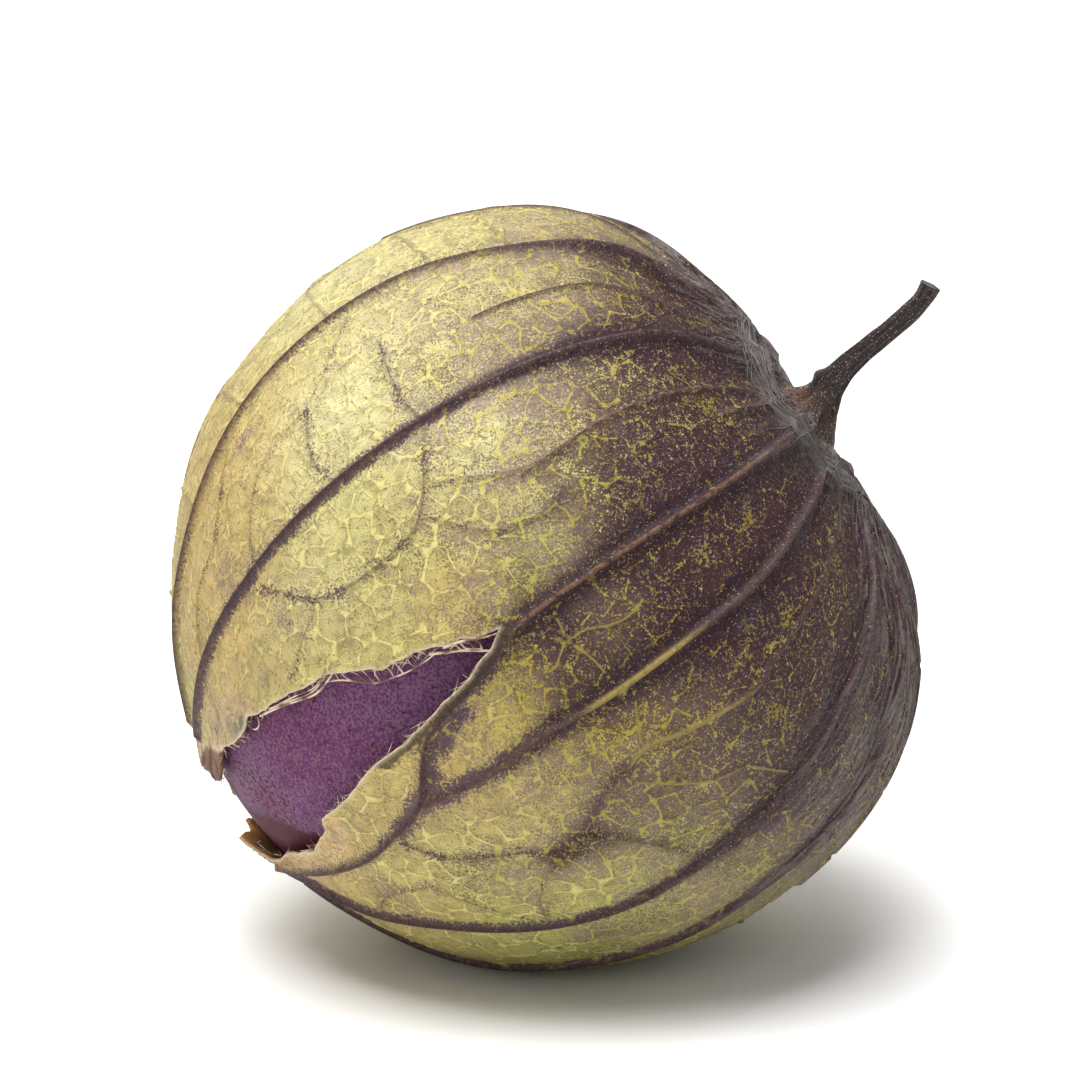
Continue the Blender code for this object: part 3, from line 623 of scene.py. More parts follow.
def husk_lines():
    """All the lines of the husk: ribs, then pleats and veins, then the net."""
    lines = Lines()
    for look, rib in MAIN_RIBS:
        lines.add_rib(look, rib, MAIN_RIB)
    for look, rib in LESSER_RIBS:
        lines.add_rib(look, rib, LESSER_RIB)
    draw = np.random.default_rng(43)
    for pleat in crown_pleats():
        path = smooth_path(pleat)
        strength = draw.uniform(0.4, 1.0)
        # The pleats' ash paints grey along their crests: a painted highlight.
        lines.add(path, 1, PLEAT, PLEAT[0] * strength, ash=strength)
    for veins, kind, dark, tan, pale, straw in (
            (DARK_VEINS, THIN_VEIN, 0.5, 0.1, 0.0, 0.0), (BROWN_VEINS, THIN_VEIN, 0.3, 0.3, 0.0, 0.0),
            (PALE_VEINS, THIN_VEIN, 0.0, 0.0, 0.6, 0.7), (ruled_veins(), SIDE_VEIN, 0.2, 0.2, 0.3, 0.1)):
        for vein in veins:
            lines.add(smooth_path(vein), 1, kind, kind[0], dark, tan, pale, straw)
    net = bpy.context.scene.husk_settings
    for path, strength, parting in net_paths(net.fine_cell / MM, net.coarse_cell / MM, 21):
        kind, level = (LARGE_CELL, 2) if parting else (SMALL_CELL, 3)
        lines.add(path, level, kind, kind[0] * strength, pale=strength)
    return lines


def panel_shape(points, ribs, tear, mouth):
    """The slow shape of the paper between its ribs and towards its torn edges."""
    psi, lam = psi_of(points[:, 1]), points[:, 0]
    rib_gap, mouth_gap = nearest(points, ribs, RIB_REACH), nearest(points, mouth, EDGE_REACH)
    pleats = window(PLEAT_DEPTH, psi, PLEAT_RISE, PLEAT_FALL)
    bulge = window(PANEL_BULGE, psi, BULGE_RISE, BULGE_FALL)
    wave = PAPER_WAVE * np.sin(4 * lam + psi / 14) * np.sin(psi / 9) * smooth_step(*WAVE_RISE, psi)
    lift = TEAR_LIFT * hump(nearest(points, tear, EDGE_REACH), TEAR_LIFT_REACH)
    lower = towards(lam - math.radians(LOWER_LIP_LAM))
    flare = LIP_FLARE * (0.35 + 0.65 * lower) * hump(mouth_gap, LIP_FLARE_REACH)
    sink = 1 - hump(rib_gap, PLEAT_REACH)
    swell = 1 - hump(rib_gap, BULGE_REACH)
    curl = LIP_CURL * (0.1 + 0.9 * lower) * hump(mouth_gap, LIP_CURL_REACH)
    curl = curl * (0.7 + 0.3 * np.sin(9 * lam + 1.0))
    far = CROWN_SLOPE * smooth_step(0.1, 0.9, -np.cos(lam)) * (1 + 0.25 * np.sin(lam))
    far = far * hump(psi - SLOPE_PSI, SLOPE_REACH)
    shoulder = CROWN_SHOULDER * hump(psi - SHOULDER_PSI, SHOULDER_WIDTH)
    dish = CROWN_DISH * hump(psi - DISH_PSI, DISH_REACH)
    crown = near_side(lam) * (shoulder - dish)
    form = np.zeros(len(points))
    for table, up in ((UPPER_FORM, -1), (LOWER_FORM, 1)):
        for middle, reach, height in table:
            form += height * hump(psi - middle, reach) * smooth_step(0.2, 0.9, up * np.sin(lam))
    return -pleats * sink + bulge * swell + wave + lift + flare + curl - far + crown + form


def near_side(lam):
    """One on the side of the crown that faces the front, and nought on the far side."""
    return smooth_step(-0.2, 0.7, np.cos(lam + 0.1))


def directions(points):
    """Unit ways out from the body's centre through points of the map."""
    psi, lam = np.radians(psi_of(points[:, 1])), points[:, 0]
    out = np.outer(np.cos(psi), AXIS) + np.outer(np.sin(psi) * np.cos(lam), SIDE)
    return out + np.outer(np.sin(psi) * np.sin(lam), UNDER)


def place(points, offset, floor):
    """Points of the map, at the plain radius plus an offset, as places in millimetres."""
    radius = body_radius(np.radians(psi_of(points[:, 1]))) + offset
    out = directions(points) * radius[:, None]
    out[:, 2] = np.maximum(out[:, 2] + CENTRE_HEIGHT, floor)
    return out


def away_from_flat(points):
    """Zero on the flat spot, so that it stays flat, and one away from it."""
    angle = np.degrees(np.arccos(np.clip(-directions(points)[:, 2], -1, 1)))
    return smooth_step(13, 22, angle)


def loose_points(outline, spacing, seed):
    """Staggered rows of points with a little noise, inside the outline."""
    draw = np.random.default_rng(seed)
    rows, y, odd = [], outline[:, 1].min(), 0
    while y < outline[:, 1].max():
        step = float(local_step(np.array([y]), spacing)[0])
        y += step * ROW_GAP
        odd = 1 - odd
        count = max(8, round(2 * math.pi / step))
        x = math.radians(SEAM) + (np.arange(count) + 0.5 * odd) * 2 * math.pi / count
        rows.append(np.column_stack([x, np.full(count, y)]))
    points = np.vstack(rows)
    shift = draw.uniform(-LOOSE_NOISE, LOOSE_NOISE, points.shape)
    return points + shift * local_step(points[:, 1], spacing)[:, None]


def thin_out(points, outline, clearance):
    """Drop points outside the outline or nearly on it, and all but one of those that crowd."""
    points = points[inside(points, outline)]
    closed = segments(np.vstack([outline, outline[:1]]))
    points = points[nearest(points, closed, 1.0) > clearance]
    cells = np.round(points / SNAP).astype(int)
    _, kept = np.unique(cells, axis=0, return_index=True)
    return points[np.sort(kept)]


def triangulate(outline, points):
    """Triangles of the map inside the outline, whose points come first."""
    given = [Vector(point) for point in np.vstack([outline, points]).tolist()]
    count = len(outline)
    edges = [(k, (k + 1) % count) for k in range(count)]
    found, _, faces, origins, _, _ = delaunay_2d_cdt(given, edges, [], 0, 1e-7)
    found, faces = np.array([tuple(p) for p in found]), np.array(faces)
    rim = {source: index for index, sources in enumerate(origins) for source in sources if source < count}
    return found, faces[inside(found[faces].mean(axis=1), outline)], rim


def soft_blob(points, psi, lam, wide, long):
    """One soft patch, with its half sizes in millimetres round the axis and along it."""
    x, y = to_plane(psi, lam)
    girth = girth_radius(np.array([y]))[0]
    return np.exp(-((points[:, 0] - x) * girth / wide) ** 2 - ((points[:, 1] - y) * girth / long) ** 2)


# The purple band that runs along each main rib: its reach in millimetres, and strengths.
HAZE_REACH = 1.15
HAZE_STRENGTHS = [0.4, 1.0, 0.66, 0.45, 1.0, 0.95, 0.9, 0.6, 0.9, 0.9]
DARK_VEIN_HAZE, BROWN_VEIN_HAZE = 0.5, 0.35
# Lines along which the band is stronger and wider.
PURPLE_RUNS = [[(93, -9.6), (99, -7.2)], [(103, -4.6), (110, -1.8), (116, 4.4), (124, 8.6)],
               [(92, 4.5), (103, 5.7), (115, 5.6)]]
RUN_HAZE, RUN_WIDTH = 0.9, 1.4

# Where the purple ends, in degrees: its middle PSI, how far that sways round the husk, the side
# on which it reaches furthest, and how far before and after the middle it fades.
BORDER_PSI, BORDER_SWAY, BORDER_LAM = 77, 22, 42
BORDER_BEFORE, BORDER_AFTER = 44, 29
# How purple the husk is everywhere, near the stem, less in a panel's middle, and by the band.
PURPLE_BASE, PURPLE_STEM, PURPLE_PANEL, PURPLE_HAZE = 0.06, 0.96, 0.14, 0.3
# Ranges of the distance from a rib in which a panel begins, and of PSI in which the crown ends.
PANEL_RANGE, CROWN_RANGE = (0.6, 3.6), (10, 46)
TONGUE_RANGE = (0.3, 5.0)
TORN_REACH, LIP_REACH = 0.12, 1.2

# Patches of colour on the husk: PSI, LAM, half sizes in millimetres, strength.
GOLD_PATCHES = [(104, -60, 7, 9, 0.6), (130, -66, 9, 8, 1.0), (142, -40, 7, 8, 1.0), (97, -4, 3.5, 4.5, 1.0),
                (93, -18, 3.5, 2.5, 0.9), (112, 2, 3, 6, 0.8), (150, 22, 6, 7, 1.0), (104, 14, 5, 4, 0.5),
                (140, 95, 9, 8, 0.8), (95, 150, 7, 8, 0.6), (135, -150, 9, 9, 0.9), (120, -100, 8, 8, 0.7)]
LIME_PATCHES = [(92, 28, 5, 6, 0.8), (88, -1, 5, 5, 0.8), (118, 50, 9, 8, 0.9), (80, -18, 4, 4, 0.6),
                (84, 4, 3, 3, 0.9), (100, -38, 5, 5, 0.5), (105, 75, 9, 9, 0.9), (85, 160, 7, 7, 0.6),
                (90, -140, 8, 8, 0.6)]
LEMON_PATCHES = [(84, -62, 5, 7, 0.5), (98, -52, 5, 6, 0.8), (78, -38, 4, 5, 0.7), (112, -34, 4, 5, 0.5),
                 (90, -90, 8, 8, 0.8), (110, 120, 8, 8, 0.5)]
MUSTARD_PATCHES = [(80, 3, 6, 7, 1.0), (70, 12, 5, 6, 0.8), (94, -3, 4, 4, 0.6), (62, 2, 4, 6, 0.5)]
PURPLE_PATCHES = [(74, -52, 3, 5, 0.1), (93, -14.5, 1.2, 2.2, 0.3), (116, 22, 2.5, 3, 0.4),
                  (64, -20, 5, 5, 0.1), (120, -33, 0.7, 0.5, 0.7), (103, 24, 2, 3, 0.35),
                  (66, 0, 4, 6, 0.12), (108, 46, 3, 4, 0.35), (88, -1, 4, 4, 0.24), (86, -8, 2.5, 3, 0.2),
                  (89, 22, 5, 6, 0.1), (96, 17, 5, 5, 0.14), (80, -72, 4, 5, 0.12),
                  (127, -50, 1.6, 1.6, 0.4), (136, 24, 2, 2, 0.4), (113, -66, 0.8, 1.6, 0.6)]
TEAL_PATCHES = [(140, -27, 1.2, 2.5, 0.9), (128, -27, 0.8, 1.8, 0.5), (127, -33, 0.6, 2.2, 0.5),
                (150, -33, 1.2, 1.8, 0.6), (118, -47, 0.8, 2, 0.3)]
# Grey patches, besides the crown's own grey: partly grey fuzz, partly painted sheen at grazing angles.
ASH_AND_SHEEN_PATCHES = [(50, 60, 8, 12, 0.9), (75, 72, 8, 12, 0.7), (100, 85, 8, 10, 0.4), (40, -125, 9, 8, 0.5)]

# The fold behind which the upper lip shows its brown face, as PSI and LAM.
UPPER_FOLD = [(171, -56), (163, -44), (156, -32), (151, -27), (145.5, -24), (144, -19)]
# Where the rib that the tear follows is olive brown up to the tear's edge.
OLIVE_RUN = [(91, -11.5), (94, -10), (99, -8), (103.5, -7.1), (108, -6.2), (113, -4.8), (118, -4.2)]
OLIVE_REACH = 0.95
# The band of grey fibres along the crown's shoulder, as PSI and LAM, and its reach in millimetres.
SHOULDER = [(20, -92), (21, -74), (24, -50), (25.5, -30), (28, -11), (26, 2), (20, 26), (14.5, 50), (18, 62),
            (24, 67), (32, 70), (44, 73), (58, 76)]
SHOULDER_REACH = 0.95
# Where the paper by the lips is dry: from this PSI on, and its reach in millimetres.
DRY_PSI = 139.0
DRY_REACH = 2.8


# The tones that come from the lines' table, in the order of its values after the height.
LINE_TONES = ("dark_line", "tan_line", "pale_line", "straw_line", "ash_and_highlight_line")


def patches(points, table):
    """How far each point lies in the patches of a table, from nought to one."""
    total = np.zeros(len(points))
    for psi, lam, wide, long, strength in table:
        total += strength * soft_blob(points, psi, lam, wide, long)
    return np.clip(total, 0, 1)


def husk_tones(points, shares, haze_rows, ribs, edges):
    """Named values at each point that the husk's finish reads."""
    psi, lam = psi_of(points[:, 1]), points[:, 0]
    border = BORDER_PSI + BORDER_SWAY * np.cos(lam - math.radians(BORDER_LAM))
    purple = 1 - smooth_step(border - BORDER_BEFORE, border + BORDER_AFTER, psi)
    haze = strongest(points, haze_rows)[:, 0]
    panel = smooth_step(*PANEL_RANGE, nearest(points, ribs, 4))
    purple = PURPLE_BASE + purple * (PURPLE_STEM - PURPLE_PANEL * panel) + PURPLE_HAZE * haze
    purple = np.clip(purple + patches(points, PURPLE_PATCHES), 0, 1)
    fold = np.interp(np.degrees(lam), *np.array(UPPER_FOLD).T[::-1])
    beyond = (np.degrees(lam) > UPPER_FOLD[0][1]) & (np.degrees(lam) < UPPER_FOLD[-1][1])
    tear = [segments(run) for run in (edges["upper"], edges["lower"], spread(on_map(UPPER_FOLD), RIM_STEP))]
    dry_ends = [edges[name][psi_of(edges[name][:, 1]) > DRY_PSI] for name in ("lower", "upper")]
    gaps = {
        "torn": (nearest(points, np.vstack(tear), 4), TORN_REACH),
        "lip": (nearest(points, segments(edges["mouth"]), 6), LIP_REACH),
        "dry": (nearest(points, segments(np.vstack([*dry_ends, edges["mouth"]])), 9), DRY_REACH),
        "shoulder": (nearest(points, segments(smooth_path(SHOULDER, 3)), 4), SHOULDER_REACH),
    }
    near = near_side(lam)
    grey_and_sheen = 1 - smooth_step(19 - near, 52 - 17 * near, psi) + patches(points, ASH_AND_SHEEN_PATCHES)
    tones = {name: hump(gap, reach) for name, (gap, reach) in gaps.items()}
    tones.update({name: patches(points, table) for name, table in (
        ("gold", GOLD_PATCHES), ("lime", LIME_PATCHES), ("lemon", LEMON_PATCHES),
        ("mustard", MUSTARD_PATCHES), ("teal", TEAL_PATCHES))})
    tones.update({name: shares[:, column] for column, name in enumerate(LINE_TONES, 1)})
    tones.update({
        "purple": purple,
        "haze": haze,
        "panel": panel,
        "tongue": smooth_step(*TONGUE_RANGE, psi - fold) * beyond,
        "olive": strongest(points, segments(on_map(OLIVE_RUN), OLIVE_REACH, (1.0,)))[:, 0],
        # fuzz: the crown's grey fuzz, and grey patches that are partly painted sheen.
        "fuzz": np.clip(grey_and_sheen, 0, 1),
        "crown": 1 - smooth_step(*CROWN_RANGE, psi),
    })
    return tones


def linked(name, data):
    """A new object in the scene."""
    item = bpy.data.objects.new(name, data)
    bpy.context.scene.collection.objects.link(item)
    return item


def set_values(data, name, numbers):
    """Give a mesh one named value for each point."""
    layer = data.attributes.new(name, "FLOAT", "POINT")
    layer.data.foreach_set("value", np.asarray(numbers, dtype=np.float32))


def mesh_object(name, points, faces, values=None):
    """A smooth mesh object from places in millimetres, with named point values."""
    data = bpy.data.meshes.new(name)
    data.from_pydata((np.asarray(points) * MM).tolist(), [], np.asarray(faces).tolist())
    for key, numbers in (values or {}).items():
        set_values(data, key, numbers)
    data.shade_smooth()
    return linked(name, data)


def husk_mesh():
    """The papery husk: outer face with every line on it, inner face, and the torn rims."""
    settings = bpy.context.scene.husk_settings
    wall = settings.wall / MM
    outline, is_rim, edges = husk_outline()
    lines = husk_lines()
    rows = lines.all_rows()
    rib_paths = [smooth_path(rib) for _, rib in MAIN_RIBS]
    ribs = turned_copies(np.vstack([segments(path) for path in rib_paths]))
    haze = [segments(path, HAZE_REACH, (strength,)) for path, strength in zip(rib_paths, HAZE_STRENGTHS)]
    for runs, width, strength in ((DARK_VEINS, 1.0, DARK_VEIN_HAZE), (BROWN_VEINS, 1.0, BROWN_VEIN_HAZE),
                                  (PURPLE_RUNS, RUN_WIDTH, RUN_HAZE)):
        haze += [segments(on_map(run), HAZE_REACH * width, (strength,)) for run in runs]
    haze = turned_copies(np.vstack(haze))
    tear = turned_copies(segments(np.vstack([edges["lower"], edges["upper"]])))
    mouth = turned_copies(segments(edges["mouth"]))
    loose = loose_points(outline, LOOSE_STEP, 5)
    gap = nearest(loose, rows, 1.0)
    crown_loose = loose_points(outline, INNER_CROWN_STEP, 7)
    crown_loose = crown_loose[psi_of(crown_loose[:, 1]) < INNER_CROWN_PSI]
    inner_loose = np.vstack([loose_points(outline, INNER_STEP, 6), crown_loose])
    inner_loose = thin_out(inner_loose, outline, INNER_CLEARANCE)
    points = np.vstack([*rim_rows(edges), lines.clear_points(), loose[gap > LINE_CLEARANCE]])
    points = thin_out(points, outline, RIM_CLEARANCE)
    points, faces, rim = triangulate(outline, points)
    inner, inner_faces, inner_rim = triangulate(outline, inner_loose)
    shares = strongest(points, rows)
    away = away_from_flat(points)
    cushion = CUSHION * smooth_step(*CUSHION_RISE, nearest(points, rows, 0.8))
    offset = (shares[:, 0] + cushion + panel_shape(points, ribs, tear, mouth)) * away
    top = place(points, offset, 0.0)
    drop = wall + CROWN_WALL * (1 - smooth_step(*CROWN_WALL_END, psi_of(inner[:, 1])))
    low = place(inner, panel_shape(inner, ribs, tear, mouth) * away_from_flat(inner) - drop, wall)
    values = husk_tones(points, shares, haze, ribs, edges)
    inner_values = husk_tones(inner, np.zeros((len(inner), shares.shape[1])), haze, ribs, edges)
    values = {key: np.concatenate([values[key], inner_values[key]]) for key in values}
    values["inner"] = np.concatenate([np.zeros(len(points)), np.ones(len(inner))])
    shift = len(points)
    walls = []
    for k in np.nonzero(is_rim)[0].tolist():
        after = (k + 1) % len(outline)
        a, b = rim[k], rim[after]
        c, d = inner_rim[after] + shift, inner_rim[k] + shift
        walls += [(b, a, d), (b, d, c)]
    every = np.vstack([faces, inner_faces[:, ::-1] + shift, walls])
    item = mesh_object("husk_paper", np.vstack([top, low]), every, values)
    add_map(item, np.vstack([points, inner]))
    weld(item)
    return item


def rim_rows(edges):
    """Rows of points beside the torn edges, so that the colour of the tear stays narrow."""
    return [path + across(path) * gap for path in edges.values() for gap in RIM_ROWS]


def add_map(item, flat):
    """A UV map in units of ten degrees, which runs along and across the ribs."""
    data = item.data
    layer = data.uv_layers.new(name="husk_map")
    corners = np.empty(len(data.loops), dtype=np.int32)
    data.loops.foreach_get("vertex_index", corners)
    scaled = flat[corners] / math.radians(10)
    layer.data.foreach_set("uv", scaled.astype(np.float32).ravel())


def weld(item):
    """Join doubled points, such as the seam's, and turn all faces outwards."""
    mesh = bmesh.new()
    mesh.from_mesh(item.data)
    bmesh.ops.remove_doubles(mesh, verts=mesh.verts, dist=WELD_GAP)
    bmesh.ops.recalc_face_normals(mesh, faces=mesh.faces)
    mesh.to_mesh(item.data)
    mesh.free()


# Shader helpers.


def feed(tree, value, socket):
    """Link a socket to a socket, or set the socket's own value."""
    if isinstance(value, bpy.types.NodeSocket):
        tree.links.new(value, socket)
    elif value is not None:
        socket.default_value = value


def maths(tree, operation, a, b=0.0, clamp=False):
    made = tree.nodes.new("ShaderNodeMath")
    made.operation = operation
    made.use_clamp = clamp
    feed(tree, a, made.inputs[0])
    feed(tree, b, made.inputs[1])
    return made.outputs[0]


def times(tree, a, b):
    return maths(tree, "MULTIPLY", a, b)


def blend(tree, factor, a, b, mode="MIX"):
    made = tree.nodes.new("ShaderNodeMix")
    made.data_type = "RGBA"
    made.blend_type = mode
    feed(tree, factor, made.inputs[0])
    feed(tree, a, made.inputs[6])
    feed(tree, b, made.inputs[7])
    return made.outputs[2]


def ease(tree, value, low, high, out_low=0.0, out_high=1.0):
    """Turn a value between low and high into one between the out values, with soft ends."""
    made = tree.nodes.new("ShaderNodeMapRange")
    made.interpolation_type = "SMOOTHSTEP"
    for slot, item in enumerate((value, low, high, out_low, out_high)):
        feed(tree, item, made.inputs[slot])
    return made.outputs[0]


def noise(tree, vector, size, detail=2.0, roughness=0.5, distortion=0.0):
    """Noise whose features are about size metres across, or size units of a UV map."""
    made = tree.nodes.new("ShaderNodeTexNoise")
    feed(tree, vector, made.inputs["Vector"])
    made.inputs["Scale"].default_value = 1 / size
    made.inputs["Detail"].default_value = detail
    made.inputs["Roughness"].default_value = roughness
    made.inputs["Distortion"].default_value = distortion
    return made.outputs[0]


def value_of(tree, name):
    made = tree.nodes.new("ShaderNodeAttribute")
    made.attribute_name = name
    return made.outputs["Fac"]


def object_place(tree):
    return tree.nodes.new("ShaderNodeTexCoord").outputs["Object"]


def stretched(tree, vector, scale):
    made = tree.nodes.new("ShaderNodeMapping")
    feed(tree, vector, made.inputs["Vector"])
    made.inputs["Scale"].default_value = scale
    return made.outputs["Vector"]


def bump(tree, height, distance, strength=1.0):
    made = tree.nodes.new("ShaderNodeBump")
    made.inputs["Strength"].default_value = strength
    made.inputs["Distance"].default_value = distance
    feed(tree, height, made.inputs["Height"])
    return made.outputs["Normal"]


def add_inputs(tree, inputs):
    """Named inputs of a node group, each with its kind and default."""
    for label, kind, default in inputs:
        socket = tree.interface.new_socket(name=label, in_out="INPUT", socket_type=kind)
        if default is not None:
            socket.default_value = default


def group(name, inputs, output):
    """A shader group and its two end nodes, or the group alone where it was already made."""
    if name in bpy.data.node_groups:
        return bpy.data.node_groups[name], None, None
    tree = bpy.data.node_groups.new(name, "ShaderNodeTree")
    add_inputs(tree, inputs)
    tree.interface.new_socket(name=output, in_out="OUTPUT", socket_type="NodeSocketFloat")
    return tree, tree.nodes.new("NodeGroupInput"), tree.nodes.new("NodeGroupOutput")


def speckle_group():
    """Grains that cover a share of the surface: where Cover is 1 they meet."""
    tree, start, end = group("Speckle", [
        ("Vector", "NodeSocketVector", None), ("Size", "NodeSocketFloat", 0.0002),
        ("Cover", "NodeSocketFloat", 0.5), ("Softness", "NodeSocketFloat", 0.1)], "Mask")
    if start:
        scale = maths(tree, "DIVIDE", 1.0, start.outputs["Size"])
        grain = tree.nodes.new("ShaderNodeTexNoise")
        tree.links.new(start.outputs["Vector"], grain.inputs["Vector"])
        tree.links.new(scale, grain.inputs["Scale"])
        grain.inputs["Detail"].default_value = 3.0
        grain.inputs["Roughness"].default_value = 0.6
        level = ease(tree, grain.outputs[0], 0.3, 0.7)
        gap = maths(tree, "SUBTRACT", start.outputs["Cover"], level)
        low = times(tree, start.outputs["Softness"], -1.0)
        tree.links.new(ease(tree, gap, low, start.outputs["Softness"]), end.inputs["Mask"])
    return tree


def speckle(tree, vector, size, cover, softness=0.1):
    """Grains of the given size in metres, which cover a share of the surface."""
    made = tree.nodes.new("ShaderNodeGroup")
    made.node_tree = speckle_group()
    for label, value in (("Vector", vector), ("Size", size), ("Cover", cover), ("Softness", softness)):
        feed(tree, value, made.inputs[label])
    return made.outputs["Mask"]


def new_material(name, roughness, sheen=0.0, specular=0.5):
    made = bpy.data.materials.new(name)
    made.use_nodes = True
    shader = made.node_tree.nodes["Principled BSDF"]
    shader.inputs["Roughness"].default_value = roughness
    shader.inputs["Sheen Weight"].default_value = sheen
    shader.inputs["Sheen Roughness"].default_value = 0.45
    shader.inputs["Specular IOR Level"].default_value = specular
    return made, made.node_tree, shader


def rgb(colour):
    return (*colour[:3], 1.0)


# Sizes of the husk's noises and specks, in metres.
CLOUD_SIZE, CLUSTER_SIZE, CREASE_SIZE, PATCH_SIZE = 0.0042, 0.0024, 0.0016, 0.0013
FINE_SIZE, GRAIN_SIZE = 0.00045, 0.00028
BLOT, PIT, FLECK, BAND_GRAIN, DUST, PURPLE_GRAIN = 0.00042, 0.0003, 0.0002, 0.00017, 0.00015, 0.00014
# Streaks run along the ribs: their sizes on the UV map, and how far they are drawn out.
STREAK_SIZE, FIBRE_SIZE, DRAWN_OUT = 0.07, 0.05, 0.06
BLOOM_AND_SHEEN_STRENGTH = 0.8
HUSK_BUMP = 0.00018
# The finest cells: size and wander on the UV map, and the size of the patches where they show.
TINY_CELL, CELL_WANDER, CELL_PATCH = 0.2, 0.09, 0.4


def husk_material():
    """The paper's finish: yellow paper, purple grains, ribs, grey bloom, lips and lining."""
    colours = bpy.context.scene.husk_settings
    made, tree, shader = new_material("husk paper", 0.55, specular=0.14)
    where = object_place(tree)
    flat = tree.nodes.new("ShaderNodeUVMap").outputs[0]
    along = stretched(tree, flat, (1.0, DRAWN_OUT, 1.0))
    tone = {name: value_of(tree, name) for name in (
        "purple", "haze", *LINE_TONES, "gold", "lime", "lemon", "mustard", "teal", "panel", "tongue", "olive",
        "fuzz", "shoulder", "dry", "torn", "lip", "crown", "inner")}
    cloud = noise(tree, where, CLOUD_SIZE, 3.0, 0.55, 0.3)
    patch = noise(tree, where, PATCH_SIZE, 3.0, 0.6)
    fine = noise(tree, where, FINE_SIZE, 3.0, 0.6)
    cells = small_cells(tree, flat)

    # The paper's own yellow, with its net.
    paper = blend(tree, ease(tree, cloud, 0.35, 0.65), rgb(colours.straw), rgb(colours.yellow))
    for name in ("gold", "lime", "lemon", "mustard"):
        paper = blend(tree, tone[name], paper, rgb(getattr(colours, name)))
    paper = blend(tree, ease(tree, tone["dry"], 0.1, 0.7, 0.0, 0.9), paper, rgb(colours.dry))
    paper = blend(tree, 1.0, paper, grey(tree, ease(tree, patch, 0.3, 0.7, 0.8, 1.12)), "MULTIPLY")
    flank = maths(tree, "SUBTRACT", ease(tree, tone["pale_line"], 0.0, 0.15),
                  ease(tree, tone["pale_line"], 0.15, 0.4), clamp=True)
    paper = blend(tree, times(tree, flank, 0.4), paper, rgb(colours.crease))
    net = maths(tree, "MAXIMUM", ease(tree, tone["pale_line"], 0.2, 0.75, 0.0, 0.8),
                times(tree, cells, 0.3))
    net = times(tree, net, ease(tree, tone["gold"], 0.3, 1.0, 1.0, 0.55))
    net = times(tree, net, ease(tree, tone["dry"], 0.1, 0.6, 1.0, 0.3))
    net_tint = blend(tree, ease(tree, tone["crown"], 0.0, 0.5), rgb(colours.net), rgb(colours.rust))
    net_tint = blend(tree, ease(tree, tone["purple"], 0.4, 0.7), net_tint, rgb(colours.fleck))
    paper = blend(tree, net, paper, net_tint)

    # Purple grains that meet near the stem and along the ribs, and are kept off the net.
    cluster = noise(tree, where, CLUSTER_SIZE, 3.0, 0.6, 0.5)
    cover = maths(tree, "ADD", tone["purple"], ease(tree, cluster, 0.3, 0.7, -0.16, 0.22))
    cover = maths(tree, "SUBTRACT", cover, times(tree, net, 0.55))
    grains = speckle(tree, where, PURPLE_GRAIN, cover, 0.22)
    blots = speckle(tree, where, BLOT, maths(tree, "SUBTRACT", cover, 0.12), 0.12)
    deep = ease(tree, tone["purple"], 0.42, 0.9)
    blots = times(tree, blots, ease(tree, deep, 0.0, 1.0, 0.35, 1.0))
    grains = times(tree, grains, ease(tree, deep, 0.0, 1.0, 0.78, 1.0))
    stain = maths(tree, "MAXIMUM", grains, blots)
    ink = blend(tree, deep, rgb(colours.lilac), rgb(colours.plum))
    ink = blend(tree, ease(tree, cloud, 0.45, 0.65, 0.0, 0.75), ink, rgb(colours.umber))
    indigo = times(tree, deep, ease(tree, cluster, 0.5, 0.66))
    ink = blend(tree, times(tree, indigo, 0.7), ink, rgb(colours.indigo))
    colour = blend(tree, stain, paper, ink)
    band_cover = maths(tree, "ADD", tone["haze"], ease(tree, patch, 0.3, 0.7, -0.25, 0.2))
    band = speckle(tree, where, BAND_GRAIN, ease(tree, band_cover, 0.15, 0.95), 0.25)
    band_ink = blend(tree, deep, rgb(colours.band), rgb(colours.plum))
    band = times(tree, band, ease(tree, deep, 0.3, 1.0, 0.82, 0.45))
    colour = blend(tree, band, colour, band_ink)

    # Yellow flecks and bare net lines in the dark part, the teal stain, painted shade beside the ribs, ribs
    # with a painted highlight on their tops.
    flecks = speckle(tree, where, FLECK, ease(tree, cluster, 0.47, 0.7, 0.01, 0.52), 0.2)
    flecks = times(tree, flecks, ease(tree, tone["panel"], 0.1, 0.9, 0.25, 1.0))
    flecks = times(tree, flecks, maths(tree, "SUBTRACT", deep, band, clamp=True))
    flecks = times(tree, flecks, ease(tree, tone["crown"], 0.0, 1.0, 0.85, 0.25))
    colour = blend(tree, flecks, colour, rgb(colours.fleck))
    twigs = times(tree, ease(tree, tone["pale_line"], 0.3, 0.75),
                  ease(tree, tone["purple"], 0.55, 0.95, 0.75, 0.0))
    twigs = times(tree, twigs, ease(tree, tone["purple"], 0.25, 0.5))
    colour = blend(tree, twigs, colour, rgb(colours.twig))
    teal = times(tree, tone["teal"], ease(tree, patch, 0.42, 0.6))
    colour = blend(tree, teal, colour, rgb(colours.teal))
    broken = ease(tree, fine, 0.25, 0.55, 0.7, 1.0)
    fold_shade = times(tree, ease(tree, tone["panel"], 0.0, 0.3, 0.4, 0.0), deep)
    colour = blend(tree, fold_shade, colour, rgb(colours.fold))
